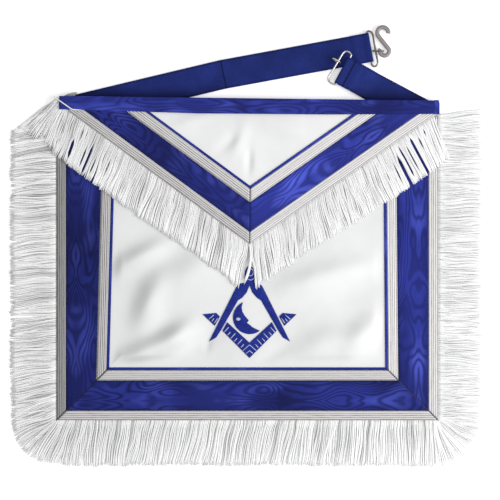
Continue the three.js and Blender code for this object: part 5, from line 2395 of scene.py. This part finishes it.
@dataclass
class Emblem:
    """The square and compasses with a crescent moon, in raised satin stitch.

    The outlines' points are shares of the emblem's half width, out from its middle line, and of its
    height, down from its top. Of the compasses and the square's corner, they give the right half.
    """

    width: float = 98
    height: float = 98
    tip: float = -104.5
    shift: float = 2.4
    gap: float = 0.5
    wall: float = 0.35
    legs: tuple[Point, ...] = (
        (0, 0.216), (0.06, 0.29), (0.16, 0.35), (0.25, 0.378), (0.623, 0.705),
        (0.723, 0.78), (0.88, 0.824), (0.283, 0.228), (0.228, 0.196), (0.1, 0.185),
        (0.112, 0.12), (0.1, 0.06), (0.06, 0.018), (0, 0.0),
    )
    corner: tuple[Point, ...] = ((0, 0.833), (0.495, 0.611), (0.6, 0.705), (0, 1))
    square_end: tuple[Point, ...] = ((1, 0.528), (0.7, 0.514), (0.622, 0.552), (0.735, 0.654))
    face: tuple[Point, ...] = (
        (0.15, 0.69), (0.06, 0.667), (0.02, 0.648), (-0.055, 0.62), (-0.015, 0.594), (-0.1, 0.545),
        (-0.155, 0.5), (-0.17, 0.45),
    )
    moon_place: Point = (0.003, 0.563)
    moon_radius: float = 0.181
    moon_turn: Point = (114, 308)
    eye_place: Point = (-0.245, 0.58)
    eye_radii: Point = (2.6, 1.9)
    eye_lift: float = 0.15
    crown: tuple[Point, ...] = ((0.3, 0.18), (0.45, 0.12))
    head: Point = (0.9, 91.0)
    ring: Point = (3.2, 3.9)
    angles: tuple[Point3, ...] = ((7.1, 7.6, 13.9), (3.7, 4.5, 7.6))
    thread_radius: float = 0.42
    tick_count: int = 6
    tick_start: Point = (9.2, 11.0)
    tick_step: Point = (3.56, 3.24)
    tick_short: float = 4.6
    tick_long: float = 7.2
    tick_turn: float = 48
    end_ticks: tuple[tuple[float, ...], ...] = (
        (43.3, 41.0, 7.2, 41), (40.2, 38.8, 3.9, 52), (37.5, 36.8, 6.4, 56)
    )

    def point(self, u: float, v: float, side: int = 1) -> Point:
        """A point's place in plan.

        Args:
            u: its share of the half width.
            v: its share of the height.
            side: 1 for a point out to the right, -1 for one out to the left.

        Returns:
            The place.
        """
        return self.shift + side * u * self.width / 2, self.tip + self.height * (1 - v)

    def patch(self, name: str, outline: Sequence[Point]) -> bpy.types.Object:
        """Builds one raised patch of stitching, extruded and inset to a crown.

        Args:
            name: the piece's name.
            outline: its corners in plan.

        Returns:
            The piece.
        """
        level = LAY.trim_level
        ordered = list(outline)
        turn = sum(a[0] * b[1] - b[0] * a[1] for a, b in zip(ordered, ordered[1:] + ordered[:1]))
        if turn < 0:
            ordered.reverse()
        points = np.array([(x, y, level) for x, y in ordered])
        piece = mesh_piece(name, points, [tuple(range(len(points)))])
        activate(piece)
        bpy.ops.object.mode_set(mode="EDIT")
        bpy.ops.mesh.select_all(action="SELECT")
        bpy.ops.mesh.extrude_region_move(TRANSFORM_OT_translate={"value": (0, 0, self.wall * MM)})
        for inset, up in self.crown:
            bpy.ops.mesh.inset(thickness=inset * MM, depth=0)
            bpy.ops.transform.translate(value=(0, 0, up * MM))
        bpy.ops.mesh.select_all(action="SELECT")
        bpy.ops.mesh.normals_make_consistent(inside=False)
        bpy.ops.object.mode_set(mode="OBJECT")
        shade(piece, 50)
        return piece

    def both(self, half: Sequence[Point]) -> list[Point]:
        """A symmetric outline.

        Args:
            half: the points of its right half, from the middle line and back to it.

        Returns:
            The outline in plan.
        """
        right = [self.point(u, v) for u, v in half]
        left = [self.point(u, v, -1) for u, v in reversed(half) if u > 0]
        return right + left

    def build(self) -> list[tuple[bpy.types.Object, str]]:
        """Builds the compasses, the square and the moon.

        Returns:
            Each piece with the node that it stands for.
        """
        shrink = 1 - 2 * self.gap / (self.width / 2)
        middle = [
            (self.shift + (x - self.shift) * shrink, y - self.gap / 2) for x, y in self.both(self.corner)
        ]
        made = [(self.patch("compasses_stitch", self.both(self.legs)), "compasses")]
        made.append((self.patch("square_middle_stitch", middle), "square_middle"))
        for side in Side:
            outline = [self.point(u, v, side.value) for u, v in self.square_end]
            outline = [(x + side.value * 2 * self.gap, y) for x, y in outline]
            name = f"square_{side.word}_end"
            made.append((self.patch(name + "_stitch", outline), name))
        made.append((self.patch("moon_stitch", self.moon()), "moon"))
        return made

    def thread(self, name: str, lines: Sequence[Sequence[Point]]) -> bpy.types.Object:
        """Builds raised lines of pale thread.

        Args:
            name: the piece's name.
            lines: the lines in plan, all with as many points as each other.

        Returns:
            The piece.
        """
        high = LAY.trim_level + self.wall + 0.3
        points = np.array([[(x, y, high) for x, y in line] for line in lines])
        return tubes(name, points, self.thread_radius, 6, np.ones(len(points)), taper=0.9)

    def ticks(self) -> list[list[Point]]:
        """The rule's divisions: long and short by turns along both arms, and three on each end.

        Returns:
            The lines in plan.
        """
        lines = []
        for side in Side:
            sign = side.value
            for k in range(self.tick_count):
                length = self.tick_short if k % 2 == 0 else self.tick_long
                x, y = (start + k * step for start, step in zip(self.tick_start, self.tick_step))
                lines.append(self.tick(sign, x, y, length, self.tick_turn))
            for x, y, length, turn in self.end_ticks:
                lines.append(self.tick(sign, x, y, length, turn))
        return lines

    def tick(self, sign: int, x: float, y: float, length: float, turn: float) -> list[Point]:
        """One of the rule's divisions.

        Args:
            sign: 1 on the right arm, -1 on the left.
            x: how far its outer end lies from the middle line.
            y: how far that end lies over the square's tip.
            length: the division's length.
            turn: its angle in degrees.

        Returns:
            The line in plan.
        """
        foot = self.shift + sign * x, self.tip + y
        cos, sin = math.cos(math.radians(turn)), math.sin(math.radians(turn))
        return [(foot[0] - sign * cos * length * t, foot[1] + sin * length * t) for t in (0, 0.5, 1)]

    def chevrons(self) -> list[list[Point]]:
        """The two small angles stitched in the square's corner.

        Returns:
            The lines in plan.
        """
        x, y = self.shift, self.tip
        return [
            [(x - half, y + low), (x, y + high), (x + half, y + low)]
            for half, low, high in self.angles
        ]

    def joint(self) -> list[list[Point]]:
        """The ring and the joint's line stitched on the head of the compasses.

        Returns:
            The lines in plan.
        """
        cx, cy = self.shift + self.head[0], self.tip + self.head[1]
        across, tall = self.ring
        turns = np.linspace(0, 2 * math.pi, 13)
        ring = [(cx + across * math.cos(t), cy + tall * math.sin(t)) for t in turns]
        line = [(cx + 3.9 - 6.4 * t / 12, cy - 6.4 - 1.9 * math.sin(math.pi * t / 14)) for t in range(13)]
        return [ring, line]

    def moon(self) -> list[Point]:
        """The crescent's outline: an outer arc closed by a face in profile.

        Returns:
            The outline in plan.
        """
        cx, cy = self.point(*self.moon_place)
        radius = self.moon_radius * self.height
        arc = [
            (cx + radius * math.cos(t), cy + radius * math.sin(t))
            for t in np.radians(np.linspace(*self.moon_turn, 28))
        ]
        return arc + [self.point(u, v) for u, v in self.face]

    def moon_eye(self) -> bpy.types.Object:
        """Builds the moon's eye, a small oval of pale thread.

        Returns:
            The piece.
        """
        cx, cy = self.point(*self.eye_place)
        across, tall = self.eye_radii
        turns = np.linspace(0, 2 * math.pi, 17)[:-1]
        oval = [(cx + across * math.cos(t), cy + tall * math.sin(t)) for t in turns]
        piece = self.patch("moon_eye_stitch", oval)
        activate(piece)
        for vertex in piece.data.vertices:
            vertex.co.z += self.eye_lift * MM
        return piece

    def dress(self) -> list[bpy.types.Object]:
        """Builds and dresses the stitched patches and the pale threads on them.

        Returns:
            The pieces.
        """
        stitch = SatinStitch().build("blue_stitch")
        pale = Thread((0.5, 0.54, 0.66), (0.4, 0.44, 0.6)).build("pale_thread")
        made = [finish_piece(piece, stitch, Slot.STITCH, node) for piece, node in self.build()]
        made.append(finish_piece(self.moon_eye(), pale, Slot.EYE, "moon_eye"))
        threads = {
            "rule_ticks": self.ticks(),
            "corner_chevrons": self.chevrons(),
            "joint_stitches": self.joint(),
        }
        for name, lines in threads.items():
            made.append(finish_piece(self.thread(name, lines), pale, Slot.EYE))
        return made


@dataclass(frozen=True)
class Lamp:
    """A square lamp, in metres and watts, which looks at the middle of the floor."""

    name: str
    place: Point3
    size: float
    power: float


@dataclass
class Studio:
    """The floor, the soft light and the camera."""

    view_width: float = 532.1
    centre: Point = (2.9, 10.1)
    distance: float = 2000
    sensor: float = 36
    far: float = 50
    floor_size: float = 8
    floor_drop: float = 0.0003
    surround: float = 0.52
    lamps: tuple[Lamp, ...] = (
        Lamp("key", (1.5, -0.4, 1.0), 1.3, 33),
        Lamp("fill", (0.0, 0.2, 2.4), 1.6, 13),
    )

    def build(self) -> None:
        """Adds the camera, the light and the floor."""
        self.camera()
        self.light()
        self.floor(Floor().build("studio_floor"))

    def floor(self, material: bpy.types.Material) -> None:
        """Builds the pale floor.

        Args:
            material: its finish.
        """
        deselect()
        bpy.ops.mesh.primitive_plane_add(size=self.floor_size, location=(0, 0, -self.floor_drop))
        piece = bpy.context.object
        piece.name = "floor"
        piece.data.materials.append(material)

    def light(self) -> None:
        """Adds one large lamp from the right, a weaker one from above, and a pale surround."""
        world = bpy.data.worlds.new("studio")
        world.use_nodes = True
        background = world.node_tree.nodes["Background"]
        background.inputs["Color"].default_value = (1, 1, 1, 1)
        background.inputs["Strength"].default_value = self.surround
        bpy.context.scene.world = world
        for lamp in self.lamps:
            data = bpy.data.lights.new(lamp.name, "AREA")
            data.size = lamp.size
            data.energy = lamp.power
            holder = bpy.data.objects.new(lamp.name, data)
            holder.location = lamp.place
            holder.rotation_euler = (-Vector(lamp.place)).to_track_quat("-Z", "Y").to_euler()
            bpy.context.scene.collection.objects.link(holder)

    def camera(self) -> None:
        """Adds the camera, straight over the apron."""
        data = bpy.data.cameras.new("camera")
        data.sensor_width = self.sensor
        data.lens = self.sensor * self.distance / self.view_width
        data.clip_end = self.far
        holder = bpy.data.objects.new("camera", data)
        holder.location = (self.centre[0] * MM, self.centre[1] * MM, self.distance * MM)
        bpy.context.scene.collection.objects.link(holder)
        bpy.context.scene.camera = holder
        bpy.context.scene.view_settings.view_transform = "Standard"


def main() -> None:
    """Builds the apron's looks piece by piece."""
    logging.basicConfig(level=logging.INFO, format="%(message)s")
    Studio().build()
    Belt().dress()
    panels, strips, fringes = Panels(), Strips(), Fringes()
    body, flap = panels.dress()
    body_trim, flap_trim = strips.dress(strips.body()), strips.dress(strips.flap())
    corner_seams, flap_seam = strips.seams()
    body_trim += [corner_seams, *fringes.dress(fringes.body())]
    flap_trim += [flap_seam, *fringes.dress(fringes.flap()), fringes.point()]
    body_trim += TopBand().dress()
    body_trim += Emblem().dress()
    panels.declare(body, body_trim, flap, flap_trim)


if __name__ == "__main__":
    main()
